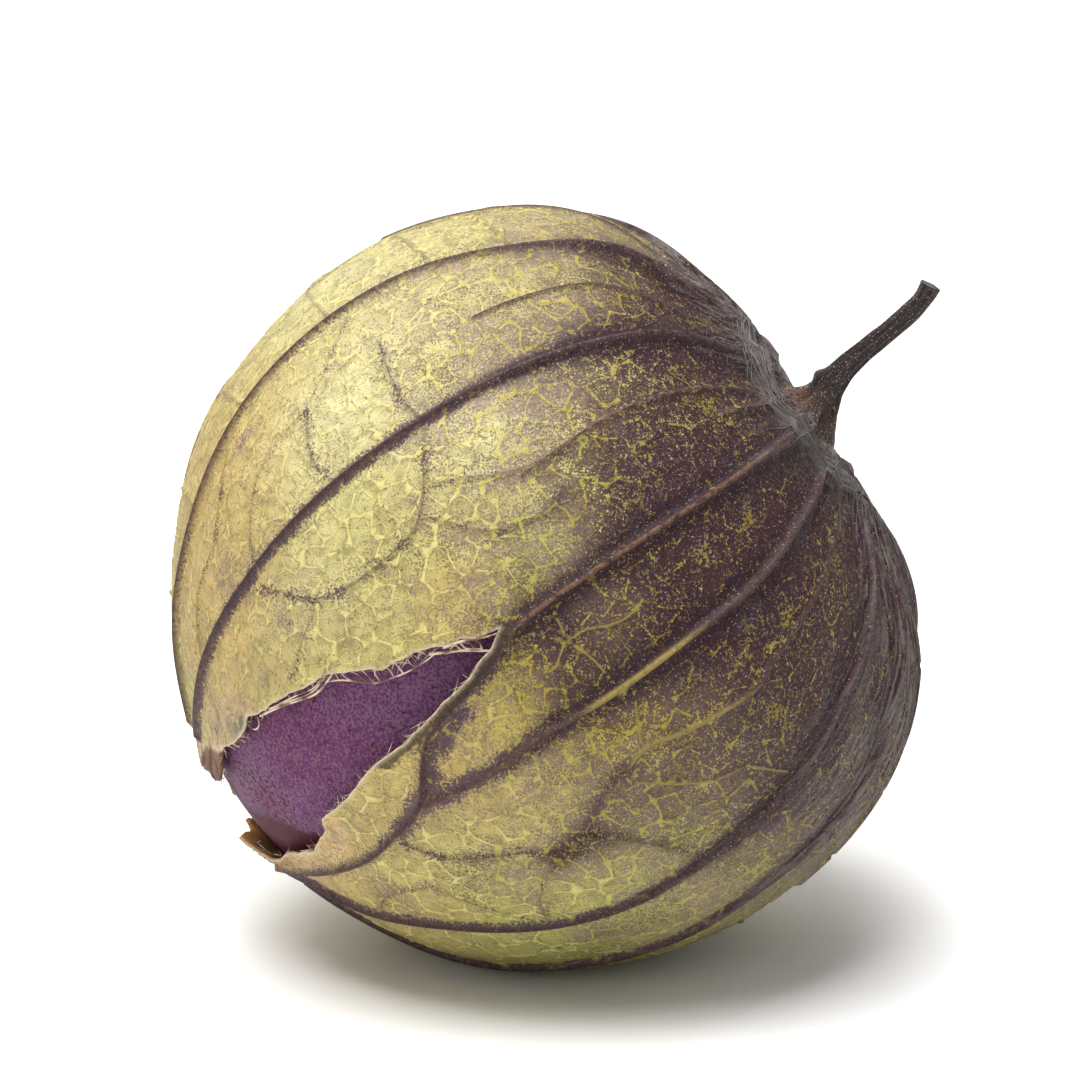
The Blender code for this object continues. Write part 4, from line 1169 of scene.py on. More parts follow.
    # The dark ribs' tops in the purple part are lighter in patches: a painted highlight.
    rib = blend(tree, times(tree, deep, ease(tree, fine, 0.3, 0.6)), rgb(colours.rib), rgb(colours.rib_top_highlight))
    colour = blend(tree, times(tree, tone["dark_line"], broken), colour, rib)
    tan = blend(tree, ease(tree, fine, 0.4, 0.65), rgb(colours.tan), rgb(colours.rib))
    tan = blend(tree, ease(tree, tone["crown"], 0.0, 0.25, 0.0, 0.85), tan, rgb(colours.rib))
    colour = blend(tree, times(tree, ease(tree, tone["tan_line"], 0.4, 0.95), 0.9), colour, tan)
    straw = times(tree, ease(tree, tone["straw_line"], 0.15, 0.7), broken)
    colour = blend(tree, straw, colour, rgb(colours.vein))

    # Grey bloom and dust near the stem, painted sheen in grey patches and a painted highlight on the pleats'
    # crests, small brown pits, the dry lips and the torn edge.
    streak = noise(tree, along, STREAK_SIZE, 4.0, 0.65)
    bloom_and_sheen = maths(tree, "ADD", tone["fuzz"], times(tree, tone["ash_and_highlight_line"], 0.5))
    bloom_and_sheen = times(tree, bloom_and_sheen, ease(tree, streak, 0.42, 0.62))
    ring = times(tree, tone["shoulder"], ease(tree, fine, 0.3, 0.6, 0.25, 0.85))
    bloom_and_sheen = maths(tree, "MAXIMUM", bloom_and_sheen, ring)
    bloom_and_sheen = maths(tree, "MULTIPLY", bloom_and_sheen, BLOOM_AND_SHEEN_STRENGTH, clamp=True)
    colour = blend(tree, bloom_and_sheen, colour, rgb(colours.bloom_and_sheen))
    dust = speckle(tree, where, DUST, 0.04, 0.02)
    dust = times(tree, dust, ease(tree, tone["purple"], 0.3, 0.8, 0.05, 0.6))
    colour = blend(tree, dust, colour, rgb(colours.dust))
    pits = speckle(tree, where, PIT, 0.07, 0.03)
    colour = blend(tree, times(tree, pits, 0.65), colour, rgb(colours.rust))
    char = ease(tree, maths(tree, "ADD", tone["lip"], ease(tree, patch, 0.3, 0.7, -0.3, 0.2)), 0.3, 0.8)
    colour = blend(tree, times(tree, char, 0.7), colour, rgb(colours.char))
    olive = ease(tree, maths(tree, "ADD", tone["olive"], ease(tree, fine, 0.3, 0.7, -0.25, 0.25)), 0.15, 0.6)
    colour = blend(tree, times(tree, olive, 0.85), colour, rgb(colours.olive))
    cream = times(tree, tone["torn"], ease(tree, fine, 0.3, 0.5, 0.4, 1.0))
    colour = blend(tree, cream, colour, rgb(colours.cream))
    # By the lips the inner face is amber, brightened with painted light that shines through the thin paper.
    lining = blend(tree, tone["lip"], rgb(colours.lining), rgb(colours.amber_and_glow))
    colour = blend(tree, tone["inner"], colour, lining)
    # The upper lip past its fold: brown, darkest further from the fold.
    tongue = blend(tree, ease(tree, tone["tongue"], 0.1, 0.6), rgb(colours.char), rgb(colours.tongue_dark))
    tongue = blend(tree, ease(tree, patch, 0.45, 0.7, 0.0, 0.6), tongue, rgb(colours.char))
    colour = blend(tree, ease(tree, tone["tongue"], 0.0, 0.3, 0.0, 0.95), colour, tongue)
    feed(tree, colour, shader.inputs["Base Color"])

    rough = maths(tree, "ADD", ease(tree, stain, 0.0, 1.0, 0.5, 0.58), times(tree, bloom_and_sheen, 0.3))
    feed(tree, rough, shader.inputs["Roughness"])
    fibre = noise(tree, along, FIBRE_SIZE, 4.0, 0.7)
    grain = noise(tree, where, GRAIN_SIZE, 3.0, 0.65)
    crease = noise(tree, where, CREASE_SIZE, 4.0, 0.6, 0.8)
    height = maths(tree, "ADD", times(tree, grain, 0.22), times(tree, crease, 0.8))
    height = maths(tree, "ADD", height, times(tree, cells, 0.3))
    height = maths(tree, "ADD", height, times(tree, fibre, maths(tree, "ADD", tone["fuzz"], 0.2)))
    feed(tree, bump(tree, height, HUSK_BUMP), shader.inputs["Normal"])
    return made


def small_cells(tree, where):
    """The finest cells of the net, too small for the mesh, on the husk's flat map: 1 on their lines."""
    bent = tree.nodes.new("ShaderNodeVectorMath")
    bent.operation = "MULTIPLY_ADD"
    wander = tree.nodes.new("ShaderNodeTexNoise")
    feed(tree, where, wander.inputs["Vector"])
    wander.inputs["Scale"].default_value = 1 / TINY_CELL
    feed(tree, wander.outputs["Color"], bent.inputs[0])
    bent.inputs[1].default_value = (CELL_WANDER, CELL_WANDER, 0.0)
    feed(tree, where, bent.inputs[2])
    cells = tree.nodes.new("ShaderNodeTexVoronoi")
    cells.voronoi_dimensions = "2D"
    cells.feature = "DISTANCE_TO_EDGE"
    feed(tree, bent.outputs[0], cells.inputs["Vector"])
    cells.inputs["Scale"].default_value = 1 / TINY_CELL
    line = ease(tree, cells.outputs["Distance"], 0.02, 0.1, 1.0, 0.0)
    return times(tree, line, ease(tree, noise(tree, where, CELL_PATCH), 0.35, 0.6))


def grey(tree, value):
    made = tree.nodes.new("ShaderNodeCombineColor")
    for slot in range(3):
        feed(tree, value, made.inputs[slot])
    return made.outputs[0]


def fruit_material():
    colours = bpy.context.scene.fruit_settings
    made, tree, shader = new_material("fruit skin", 0.5, specular=0.03)
    where = object_place(tree)
    cloud = noise(tree, where, 0.006, 3.0, 0.5)
    mottle = speckle(tree, where, 0.0002, ease(tree, cloud, 0.3, 0.7, 0.44, 0.62), 0.2)
    ground = blend(tree, ease(tree, cloud, 0.4, 0.65), rgb(colours.haze), rgb(colours.rose))
    skin = blend(tree, times(tree, mottle, 0.85), ground, rgb(colours.violet))
    depth = noise(tree, where, 0.0011, 3.0, 0.6)
    skin = blend(tree, ease(tree, depth, 0.5, 0.75, 0.0, 0.6), skin, rgb(colours.shade))
    lip_shade = value_of(tree, "lip_shade")
    # Painted shade on the skin under the lips.
    skin = blend(tree, ease(tree, lip_shade, 0.3, 0.75, 0.0, 0.92), skin, rgb(colours.maroon))
    spots = speckle(tree, where, 0.0004, ease(tree, value_of(tree, "pitted"), 0.0, 0.8, 0.05, 0.36), 0.04)
    skin = blend(tree, times(tree, spots, 0.8), skin, rgb(colours.spot))
    feed(tree, skin, shader.inputs["Base Color"])
    feed(tree, ease(tree, cloud, 0.3, 0.7, 0.45, 0.58), shader.inputs["Roughness"])
    skin_grain = noise(tree, where, 0.00035, 3.0)
    feed(tree, bump(tree, skin_grain, 0.00003), shader.inputs["Normal"])
    return made


def stem_material():
    colours = bpy.context.scene.stem_settings
    made, tree, shader = new_material("stem bark", 0.8, sheen=0.15, specular=0.3)
    where = object_place(tree)
    streak = noise(tree, lengthwise(tree), 0.1, 4.0, 0.65)
    bark = blend(tree, ease(tree, streak, 0.35, 0.65), rgb(colours.bark), rgb(colours.ridge))
    bark = blend(tree, times(tree, value_of(tree, "rust"), ease(tree, streak, 0.3, 0.6)), bark,
                 rgb(colours.rust))
    bark = blend(tree, value_of(tree, "cut"), bark, rgb(colours.cut))
    dust = speckle(tree, where, 0.00014, 0.08, 0.03)
    bark = blend(tree, times(tree, dust, 0.7), bark, rgb(colours.dust))
    feed(tree, bark, shader.inputs["Base Color"])
    feed(tree, ease(tree, streak, 0.3, 0.7, 0.72, 0.9), shader.inputs["Roughness"])
    feed(tree, bump(tree, streak, 0.0002), shader.inputs["Normal"])
    return made


def lengthwise(tree):
    """Places on the stem: a unit circle round it, and millimetres along it, squeezed."""
    join = tree.nodes.new("ShaderNodeCombineXYZ")
    feed(tree, value_of(tree, "turn_x"), join.inputs[0])
    feed(tree, value_of(tree, "turn_y"), join.inputs[1])
    feed(tree, times(tree, value_of(tree, "run"), 0.12), join.inputs[2])
    return join.outputs[0]


def thread_material(name, colour, tip):
    """A finish for thin threads, which darkens to its second colour in patches."""
    made, tree, shader = new_material(name, 0.7, sheen=0.2, specular=0.3)
    where = object_place(tree)
    patch = ease(tree, noise(tree, where, 0.0012, 2.0), 0.4, 0.62)
    feed(tree, blend(tree, patch, rgb(colour), rgb(tip)), shader.inputs["Base Color"])
    return made


# Geometry Nodes helpers.


def node_tree(name, inputs):
    """A geometry tree with named inputs, and its two end nodes."""
    tree = bpy.data.node_groups.new(name, "GeometryNodeTree")
    tree.interface.new_socket(name="Geometry", in_out="INPUT", socket_type="NodeSocketGeometry")
    add_inputs(tree, inputs)
    tree.interface.new_socket(name="Geometry", in_out="OUTPUT", socket_type="NodeSocketGeometry")
    return tree, tree.nodes.new("NodeGroupInput"), tree.nodes.new("NodeGroupOutput")


def named_value(tree, name):
    made = tree.nodes.new("GeometryNodeInputNamedAttribute")
    made.data_type = "FLOAT"
    made.inputs["Name"].default_value = name
    return made.outputs["Attribute"]


def close_tree(tree, geometry, start, end):
    """Realize, smooth, give the material and send out."""
    real = tree.nodes.new("GeometryNodeRealizeInstances")
    smooth = tree.nodes.new("GeometryNodeSetShadeSmooth")
    finish = tree.nodes.new("GeometryNodeSetMaterial")
    tree.links.new(geometry, real.inputs["Geometry"])
    tree.links.new(real.outputs[0], smooth.inputs["Geometry"])
    tree.links.new(smooth.outputs[0], finish.inputs["Geometry"])
    tree.links.new(start.outputs["Material"], finish.inputs["Material"])
    tree.links.new(finish.outputs[0], end.inputs["Geometry"])


def sweep_tree():
    """Cords along the edges of a guide mesh, as thick as its value 'thickness' says."""
    tree, start, end = node_tree("Sweep along edges", [
        ("Sides", "NodeSocketInt", 5), ("Thickness", "NodeSocketFloat", 1.0),
        ("Material", "NodeSocketMaterial", None)])
    curve = tree.nodes.new("GeometryNodeMeshToCurve")
    thick = tree.nodes.new("GeometryNodeSetCurveRadius")
    profile = tree.nodes.new("GeometryNodeCurvePrimitiveCircle")
    cords = tree.nodes.new("GeometryNodeCurveToMesh")
    tree.links.new(start.outputs["Geometry"], curve.inputs["Mesh"])
    tree.links.new(curve.outputs[0], thick.inputs["Curve"])
    size = times(tree, named_value(tree, "thickness"), start.outputs["Thickness"])
    tree.links.new(size, thick.inputs["Radius"])
    tree.links.new(start.outputs["Sides"], profile.inputs["Resolution"])
    profile.inputs["Radius"].default_value = 1.0
    tree.links.new(thick.outputs[0], cords.inputs["Curve"])
    tree.links.new(profile.outputs[0], cords.inputs["Profile Curve"])
    tree.links.new(size, cords.inputs["Scale"])
    cords.inputs["Fill Caps"].default_value = True
    close_tree(tree, cords.outputs[0], start, end)
    return tree


# A hair of length one: its start, middle and end, how far it thins, and the shortest one's share.
HAIR_BOW = ((0, 0, 0), (0, 0, 0.6), (0.45, 0, 0.9))
HAIR_TAPER = 0.85
SHORTEST_HAIR = 0.45


def hair_tree():
    """Short curved hairs scattered on a mesh, as close as its value 'hairs' says."""
    tree, start, end = node_tree("Scatter hairs", [
        ("Density", "NodeSocketFloat", 1.0), ("Length", "NodeSocketFloat", 0.0005),
        ("Radius", "NodeSocketFloat", 0.00001), ("Lean", "NodeSocketFloat", 1.0),
        ("Seed", "NodeSocketInt", 1), ("Material", "NodeSocketMaterial", None)])
    spots = tree.nodes.new("GeometryNodeDistributePointsOnFaces")
    tree.links.new(start.outputs["Geometry"], spots.inputs["Mesh"])
    tree.links.new(times(tree, named_value(tree, "hairs"), start.outputs["Density"]),
                   spots.inputs["Density"])
    tree.links.new(start.outputs["Seed"], spots.inputs["Seed"])
    bow = tree.nodes.new("GeometryNodeCurveQuadraticBezier")
    bow.inputs["Resolution"].default_value = 3
    for name, corner in zip(("Start", "Middle", "End"), HAIR_BOW):
        bow.inputs[name].default_value = corner
    profile = tree.nodes.new("GeometryNodeCurvePrimitiveCircle")
    profile.inputs["Resolution"].default_value = 3
    profile.inputs["Radius"].default_value = 1.0
    hair = tree.nodes.new("GeometryNodeCurveToMesh")
    tree.links.new(bow.outputs[0], hair.inputs["Curve"])
    tree.links.new(profile.outputs[0], hair.inputs["Profile Curve"])
    taper = tree.nodes.new("GeometryNodeSplineParameter")
    thin = maths(tree, "SUBTRACT", 1.0, times(tree, taper.outputs["Factor"], HAIR_TAPER))
    width = maths(tree, "DIVIDE", start.outputs["Radius"], start.outputs["Length"])
    tree.links.new(times(tree, thin, width), hair.inputs["Scale"])
    lean = random_vector(tree, start.outputs["Lean"])
    turn = tree.nodes.new("FunctionNodeRotateRotation")
    turn.rotation_space = "LOCAL"
    angles = tree.nodes.new("FunctionNodeEulerToRotation")
    tree.links.new(lean, angles.inputs[0])
    tree.links.new(spots.outputs["Rotation"], turn.inputs["Rotation"])
    tree.links.new(angles.outputs[0], turn.inputs["Rotate By"])
    size = tree.nodes.new("FunctionNodeRandomValue")
    size.data_type = "FLOAT"
    size.inputs[2].default_value = SHORTEST_HAIR
    size.inputs[3].default_value = 1.0
    size.inputs["Seed"].default_value = 8
    put = tree.nodes.new("GeometryNodeInstanceOnPoints")
    tree.links.new(spots.outputs["Points"], put.inputs["Points"])
    tree.links.new(hair.outputs[0], put.inputs["Instance"])
    tree.links.new(turn.outputs[0], put.inputs["Rotation"])
    tree.links.new(times(tree, size.outputs[1], start.outputs["Length"]), put.inputs["Scale"])
    close_tree(tree, put.outputs[0], start, end)
    return tree


def random_vector(tree, reach):
    """A turn of up to reach either way about X and Y, and any turn about Z."""
    made = tree.nodes.new("FunctionNodeRandomValue")
    made.data_type = "FLOAT_VECTOR"
    made.inputs["Seed"].default_value = 3
    sockets = []
    for way in (-1.0, 1.0):
        join = tree.nodes.new("ShaderNodeCombineXYZ")
        for slot in (0, 1):
            tree.links.new(times(tree, reach, way), join.inputs[slot])
        join.inputs[2].default_value = way * math.pi
        sockets.append(join.outputs[0])
    tree.links.new(sockets[0], made.inputs[0])
    tree.links.new(sockets[1], made.inputs[1])
    return made.outputs[0]


def grown(guide, tree, values, name):
    """Run a geometry tree on a guide and keep its result as a plain mesh object."""
    modifier = guide.modifiers.new("grow", "NODES")
    modifier.node_group = tree
    for item in tree.interface.items_tree:
        if item.in_out == "INPUT" and item.name in values:
            modifier[item.identifier] = values[item.name]
    bpy.context.view_layer.update()
    seen = guide.evaluated_get(bpy.context.evaluated_depsgraph_get())
    data = bpy.data.meshes.new_from_object(seen)
    data.name = name
    bpy.data.objects.remove(guide, do_unlink=True)
    return linked(name, data)


def edge_guide(name, paths):
    """A mesh of edges along paths in millimetres, each with its thickness in millimetres."""
    points, edges, thickness = [], [], []
    for path, sizes in paths:
        base = len(points)
        points += (np.asarray(path) * MM).tolist()
        thickness += (np.broadcast_to(sizes, len(path)) * MM).tolist()
        edges += [(base + k, base + k + 1) for k in range(len(path) - 1)]
    data = bpy.data.meshes.new(name)
    data.from_pydata(points, edges, [])
    set_values(data, "thickness", thickness)
    return linked(name, data)


# Settings.


def colour_setting(name, words, value):
    return FloatVectorProperty(name=name, description=words, subtype="COLOR", size=3, min=0, max=1,
                               default=value)


def length_setting(name, words, value):
    return FloatProperty(name=name, description=words, unit="LENGTH", default=value, min=0, precision=5)


class HuskSettings(bpy.types.PropertyGroup):
    wall: length_setting("Wall", "Thickness of the dry paper", 0.00018)
    coarse_cell: length_setting("Coarse cell", "Width of the net's large cells", 0.0046)
    fine_cell: length_setting("Fine cell", "Width of the net's small cells", 0.0018)
    straw: colour_setting("Straw", "Dull yellow of the paper", (0.351, 0.288, 0.104))
    yellow: colour_setting("Yellow", "Clear yellow of the paper", (0.441, 0.383, 0.14))
    gold: colour_setting("Gold", "Orange tint towards the blossom end", (0.441, 0.324, 0.117))
    lime: colour_setting("Lime", "Green tint low on the side", (0.333, 0.324, 0.086))
    lemon: colour_setting("Lemon", "Palest paper on the upper side", (0.522, 0.477, 0.243))
    mustard: colour_setting("Mustard", "Deep yellow right of the tear", (0.37, 0.29, 0.045))
    net: colour_setting("Net", "Raised net on yellow paper", (0.594, 0.504, 0.189))
    rust: colour_setting("Rust", "Net and pits on purple paper", (0.153, 0.072, 0.027))
    lilac: colour_setting("Lilac", "Purple grains where they are thin", (0.165, 0.108, 0.12))
    plum: colour_setting("Plum", "Purple grains where they are dense", (0.036, 0.014, 0.021))
    umber: colour_setting("Umber", "Brown purple near the stem", (0.041, 0.019, 0.019))
    indigo: colour_setting("Indigo", "Blue parts of the dense grains", (0.024, 0.014, 0.034))
    fleck: colour_setting("Fleck", "Yellow flecks in the dark part", (0.27, 0.2, 0.03))
    twig: colour_setting("Twig", "Bare net lines that cross the purple", (0.34, 0.29, 0.045))
    teal: colour_setting("Teal", "Grey green stain by the tear", (0.072, 0.09, 0.077))
    crease: colour_setting("Crease", "Shade beside the net's lines", (0.153, 0.117, 0.045))
    rib: colour_setting("Rib", "Dark ribs", (0.042, 0.019, 0.024))
    # The lighter tops of the dark ribs near the stem are a painted highlight.
    rib_top_highlight: colour_setting("Worn", "Tops of the dark ribs near the stem", (0.085, 0.055, 0.052))
    fold: colour_setting("Fold", "Shade beside the ribs near the stem", (0.014, 0.006, 0.008))
    band: colour_setting("Band", "Purple beside the ribs", (0.045, 0.018, 0.05))
    tan: colour_setting("Tan", "Brown ribs", (0.15, 0.08, 0.043))
    vein: colour_setting("Vein", "Bare veins that cross the purple", (0.25, 0.185, 0.05))
    # Bloom and sheen: the grey of the fuzz near the stem, also laid on as painted sheen and as a painted
    # highlight on the pleats' crests.
    bloom_and_sheen: colour_setting("Bloom", "Grey bloom near the stem", (0.2, 0.175, 0.163))
    ash: colour_setting("Ash", "Darker fibres on the crown", (0.08, 0.066, 0.063))
    strand: colour_setting("Strand", "Fibres on the crown", (0.17, 0.15, 0.142))
    dry: colour_setting("Dry", "Dry paper by the lips", (0.5, 0.35, 0.172))
    dust: colour_setting("Dust", "White specks", (0.405, 0.378, 0.342))
    char: colour_setting("Char", "Brown of the dry lips", (0.22, 0.095, 0.037))
    # The inner face of the lips: its own amber, with light through the thin paper painted into it.
    amber_and_glow: colour_setting("Amber", "Inner face of the lips", (0.95, 0.52, 0.17))
    tongue_dark: colour_setting("Scorch", "Darkest part of the upper lip", (0.1, 0.038, 0.018))
    olive: colour_setting("Olive", "Rib along the tear", (0.042, 0.028, 0.019))
    cream: colour_setting("Cream", "Bare torn edge", (0.6, 0.49, 0.34))
    lining: colour_setting("Lining", "Inner face", (0.42, 0.3, 0.13))


class FruitSettings(bpy.types.PropertyGroup):
    equator: length_setting("Equator", "Radius across the axis", 0.0231)
    blossom_side: length_setting("Blossom side", "Radius towards the blossom end", 0.0246)
    stem_side: length_setting("Stem side", "Radius towards the stem", 0.0205)
    shift: FloatProperty(name="Shift", description="Move along the axis from the husk's centre",
                         unit="LENGTH", default=-0.0008, precision=5)
    violet: colour_setting("Violet", "Deep mottling of the skin", (0.1, 0.025, 0.1))
    haze: colour_setting("Haze", "Pale mottling, grey", (0.168, 0.09, 0.148))
    rose: colour_setting("Rose", "Pale mottling, reddish", (0.182, 0.083, 0.12))
    shade: colour_setting("Shade", "Darker clouds", (0.07, 0.02, 0.06))
    maroon: colour_setting("Maroon", "Skin in the shade of the lower lip", (0.05, 0.006, 0.011))
    spot: colour_setting("Spot", "Brown dots", (0.06, 0.02, 0.014))


class StemSettings(bpy.types.PropertyGroup):
    sides: IntProperty(name="Sides", description="Points round the stem", default=40, min=8, max=96)
    rings: IntProperty(name="Rings", description="Rings along the stem", default=110, min=20, max=300)
    bark: colour_setting("Bark", "Grooves", (0.011, 0.006, 0.005))
    ridge: colour_setting("Ridge", "Ridges", (0.04, 0.021, 0.016))
    rust: colour_setting("Rust", "Brown on the flared foot", (0.16, 0.075, 0.04))
    cut: colour_setting("Cut", "Dry cut end", (0.20, 0.17, 0.15))
    dust: colour_setting("Dust", "White specks", (0.45, 0.42, 0.39))


class FuzzSettings(bpy.types.PropertyGroup):
    crown_length: length_setting("Crown hair", "Longest hair on the husk's crown", 0.0007)
    stem_length: length_setting("Stem hair", "Longest hair on the stem", 0.0003)
    radius: length_setting("Radius", "Half thickness of a hair at its root", 0.000012)
    crown_density: FloatProperty(name="Crown density", description="Hairs to the square metre, at most",
                                 default=5.0e6, min=0)
    stem_density: FloatProperty(name="Stem density", description="Hairs to the square metre",
                                default=0.8e7, min=0)


class StageSettings(bpy.types.PropertyGroup):
    camera_height: FloatProperty(name="Camera elevation", description="Angle above the floor",
                                 subtype="ANGLE", default=math.radians(15))
    camera_distance: length_setting("Camera distance", "From the husk's centre", 0.45)
    field: length_setting("Field", "Width of the picture at the husk", 0.072)
    aim_right: FloatProperty(name="Aim right", description="Middle of the picture from the husk's centre",
                             unit="LENGTH", default=-0.00087, precision=5)
    aim_up: length_setting("Aim up", "Middle of the picture from the husk's centre", 0.0030)


# Pieces.


def dress(item, material, slot, *nodes):
    """Give a finished piece its material and body, and hide the CAD pieces of the nodes it stands for. Its
    slot is not used.
    """
    item.data.materials.clear()
    item.data.materials.append(material)
    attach(item, BODY)
    if nodes:
        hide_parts(*nodes)


class TOMATILLO_OT_husk(bpy.types.Operator):
    """Make the papery husk with its ribs, veins, net and torn edges"""
    bl_idname = "tomatillo.husk"
    bl_label = "Husk"

    def execute(self, context):
        dress(husk_mesh(), husk_material(), "husk_paper", "husk")
        return {"FINISHED"}


# The fruit's fineness, its dimple by the stem and the dip of its other end, in millimetres and
# degrees, and its slight lobes: share, count round the axis and phase.
FRUIT_SIDES, FRUIT_RINGS = 150, 110
DIMPLE_DEPTH, DIMPLE_WIDTH = 1.3, 14.0
TIP_DIP = 0.12
FRUIT_LOBES = ((0.004, 2, 0.6), (0.003, 5, 0.0))
# Places of the fruit with a finish of their own, painted shade under the lips and brown pits: PSI, LAM, and
# how far they reach in millimetres.
FRUIT_PATCHES = {"lip_shade": [(166, 14, 2.2), (158, 11, 2.3), (151, 12, 2.1), (144, 13, 1.6), (165, -27, 2.0)],
                 "pitted": [(154, -11, 2.4), (151, -3, 2.6)]}


def fruit_mesh():
    """The fruit: nearly round, slightly lobed, with a dimple where it hangs on the stem."""
    sizes = bpy.context.scene.fruit_settings
    middle = np.array(CENTRE) + np.array(AXIS) * sizes.shift / MM
    sides, rings = FRUIT_SIDES, FRUIT_RINGS
    psi = np.pi * np.arange(1, rings) / rings
    lam = 2 * np.pi * np.arange(sides) / sides
    end = np.where(np.cos(psi) > 0, sizes.stem_side / MM, sizes.blossom_side / MM)
    along = end * np.cos(psi) - DIMPLE_DEPTH * hump(np.degrees(psi), DIMPLE_WIDTH)
    girth = sizes.equator / MM * np.sin(psi)
    lobes = sum((share * np.cos(count * lam + phase) for share, count, phase in FRUIT_LOBES), start=1)
    lobes = 1 + (lobes[None, :] - 1) * np.sin(psi)[:, None]
    turn = np.outer(np.cos(lam), SIDE) + np.outer(np.sin(lam), UNDER)
    points = middle + along[:, None, None] * np.array(AXIS) + (girth[:, None] * lobes)[:, :, None] * turn
    points = points.reshape(-1, 3)
    tips = [middle + np.array(AXIS) * (sizes.stem_side / MM - DIMPLE_DEPTH),
            middle - np.array(AXIS) * (sizes.blossom_side / MM - TIP_DIP)]
    points = np.vstack([points, tips])
    values = {name: np.clip(sum(near_direction(points, *place) for place in places), 0, 1)
              for name, places in FRUIT_PATCHES.items()}
    return mesh_object("fruit_skin", points, tube_faces(rings - 1, sides), values)


def near_direction(points, psi, lam, reach):
    """One at the place of the surface that lies at these angles, and less away from it."""
    way = directions(np.column_stack(to_plane(psi, lam)))[0]
    away = points - np.array(CENTRE)
    gap = np.linalg.norm(away - way * np.linalg.norm(away, axis=1)[:, None], axis=1)
    return hump(gap, reach)


def tube_faces(rings, sides):
    """Triangles of a tube of rings, closed by a tip at each end, which come last."""
    k = np.arange(sides)
    after = (k + 1) % sides
    faces = []
    for ring in range(rings - 1):
        a, b = ring * sides, (ring + 1) * sides
        faces.append(np.column_stack([a + k, b + k, b + after]))
        faces.append(np.column_stack([a + k, b + after, a + after]))
    first, last, end = rings * sides, rings * sides + 1, (rings - 1) * sides
    faces.append(np.column_stack([np.full(sides, first), k, after]))
    faces.append(np.column_stack([np.full(sides, last), end + after, end + k]))
    return np.vstack(faces)


class TOMATILLO_OT_fruit(bpy.types.Operator):
    """Make the fruit that shows through the tear"""
    bl_idname = "tomatillo.fruit"
    bl_label = "Fruit"

    def execute(self, context):
        item = fruit_mesh()
        weld(item)
        dress(item, fruit_material(), "fruit_skin", "fruit")
        return {"FINISHED"}


# The stem: centres in the XZ plane from the husk's centre, then distance along it and radius.
STEM_PATH = [(16.72, 11.49), (17.1, 12.0), (17.85, 13.0), (18.5, 14.0), (19.3, 15.0), (20.5, 16.05),
             (21.8, 17.15), (23.1, 18.25), (23.95, 19.1), (24.5, 19.8), (24.85, 20.5)]
STEM_RADII = [(-0.6, 3.1), (0, 2.7), (0.35, 2.25), (0.8, 1.8), (1.5, 1.38), (2.6, 1.0), (4.0, 0.82),
              (6.0, 0.7), (9.0, 0.66), (11.2, 0.62), (12.0, 0.66), (12.35, 0.68), (12.5, 0.55), (12.6, 0.3)]
# How far the foot goes down into the crown, and how closely the rings crowd towards it.
FOOT = -0.6
RING_CROWDING = 1.2
# Ridges: count, share, twist to the millimetre. The foot's fine ones are stronger in its flare.
STEM_RIDGES, RIDGE_SHARE, RIDGE_TWIST = 5, 0.09, 0.12
FOOT_RIDGES, FOOT_RIDGE_SHARE, FOOT_RIDGE_FLARE, FOOT_RIDGE_TWIST = 11, 0.06, 0.1, 0.25
FLARE_REACH, RUST_REACH, STRAIGHT_RUN = 1.8, 1.6, 1.6
NUB_PLACE, NUB_REACH, NUB_HEIGHT = 2.9, 0.45, 0.4
# The table of rough noise: rows along the stem, columns round it, spacing in millimetres, share.
KNOT_ROWS, KNOT_COLUMNS, KNOT_SPACING, KNOT_SHARE = 14, 7, 1.03, 0.06
CUT_RANGE, CUT_DISH = (12.2, 12.45), 0.15


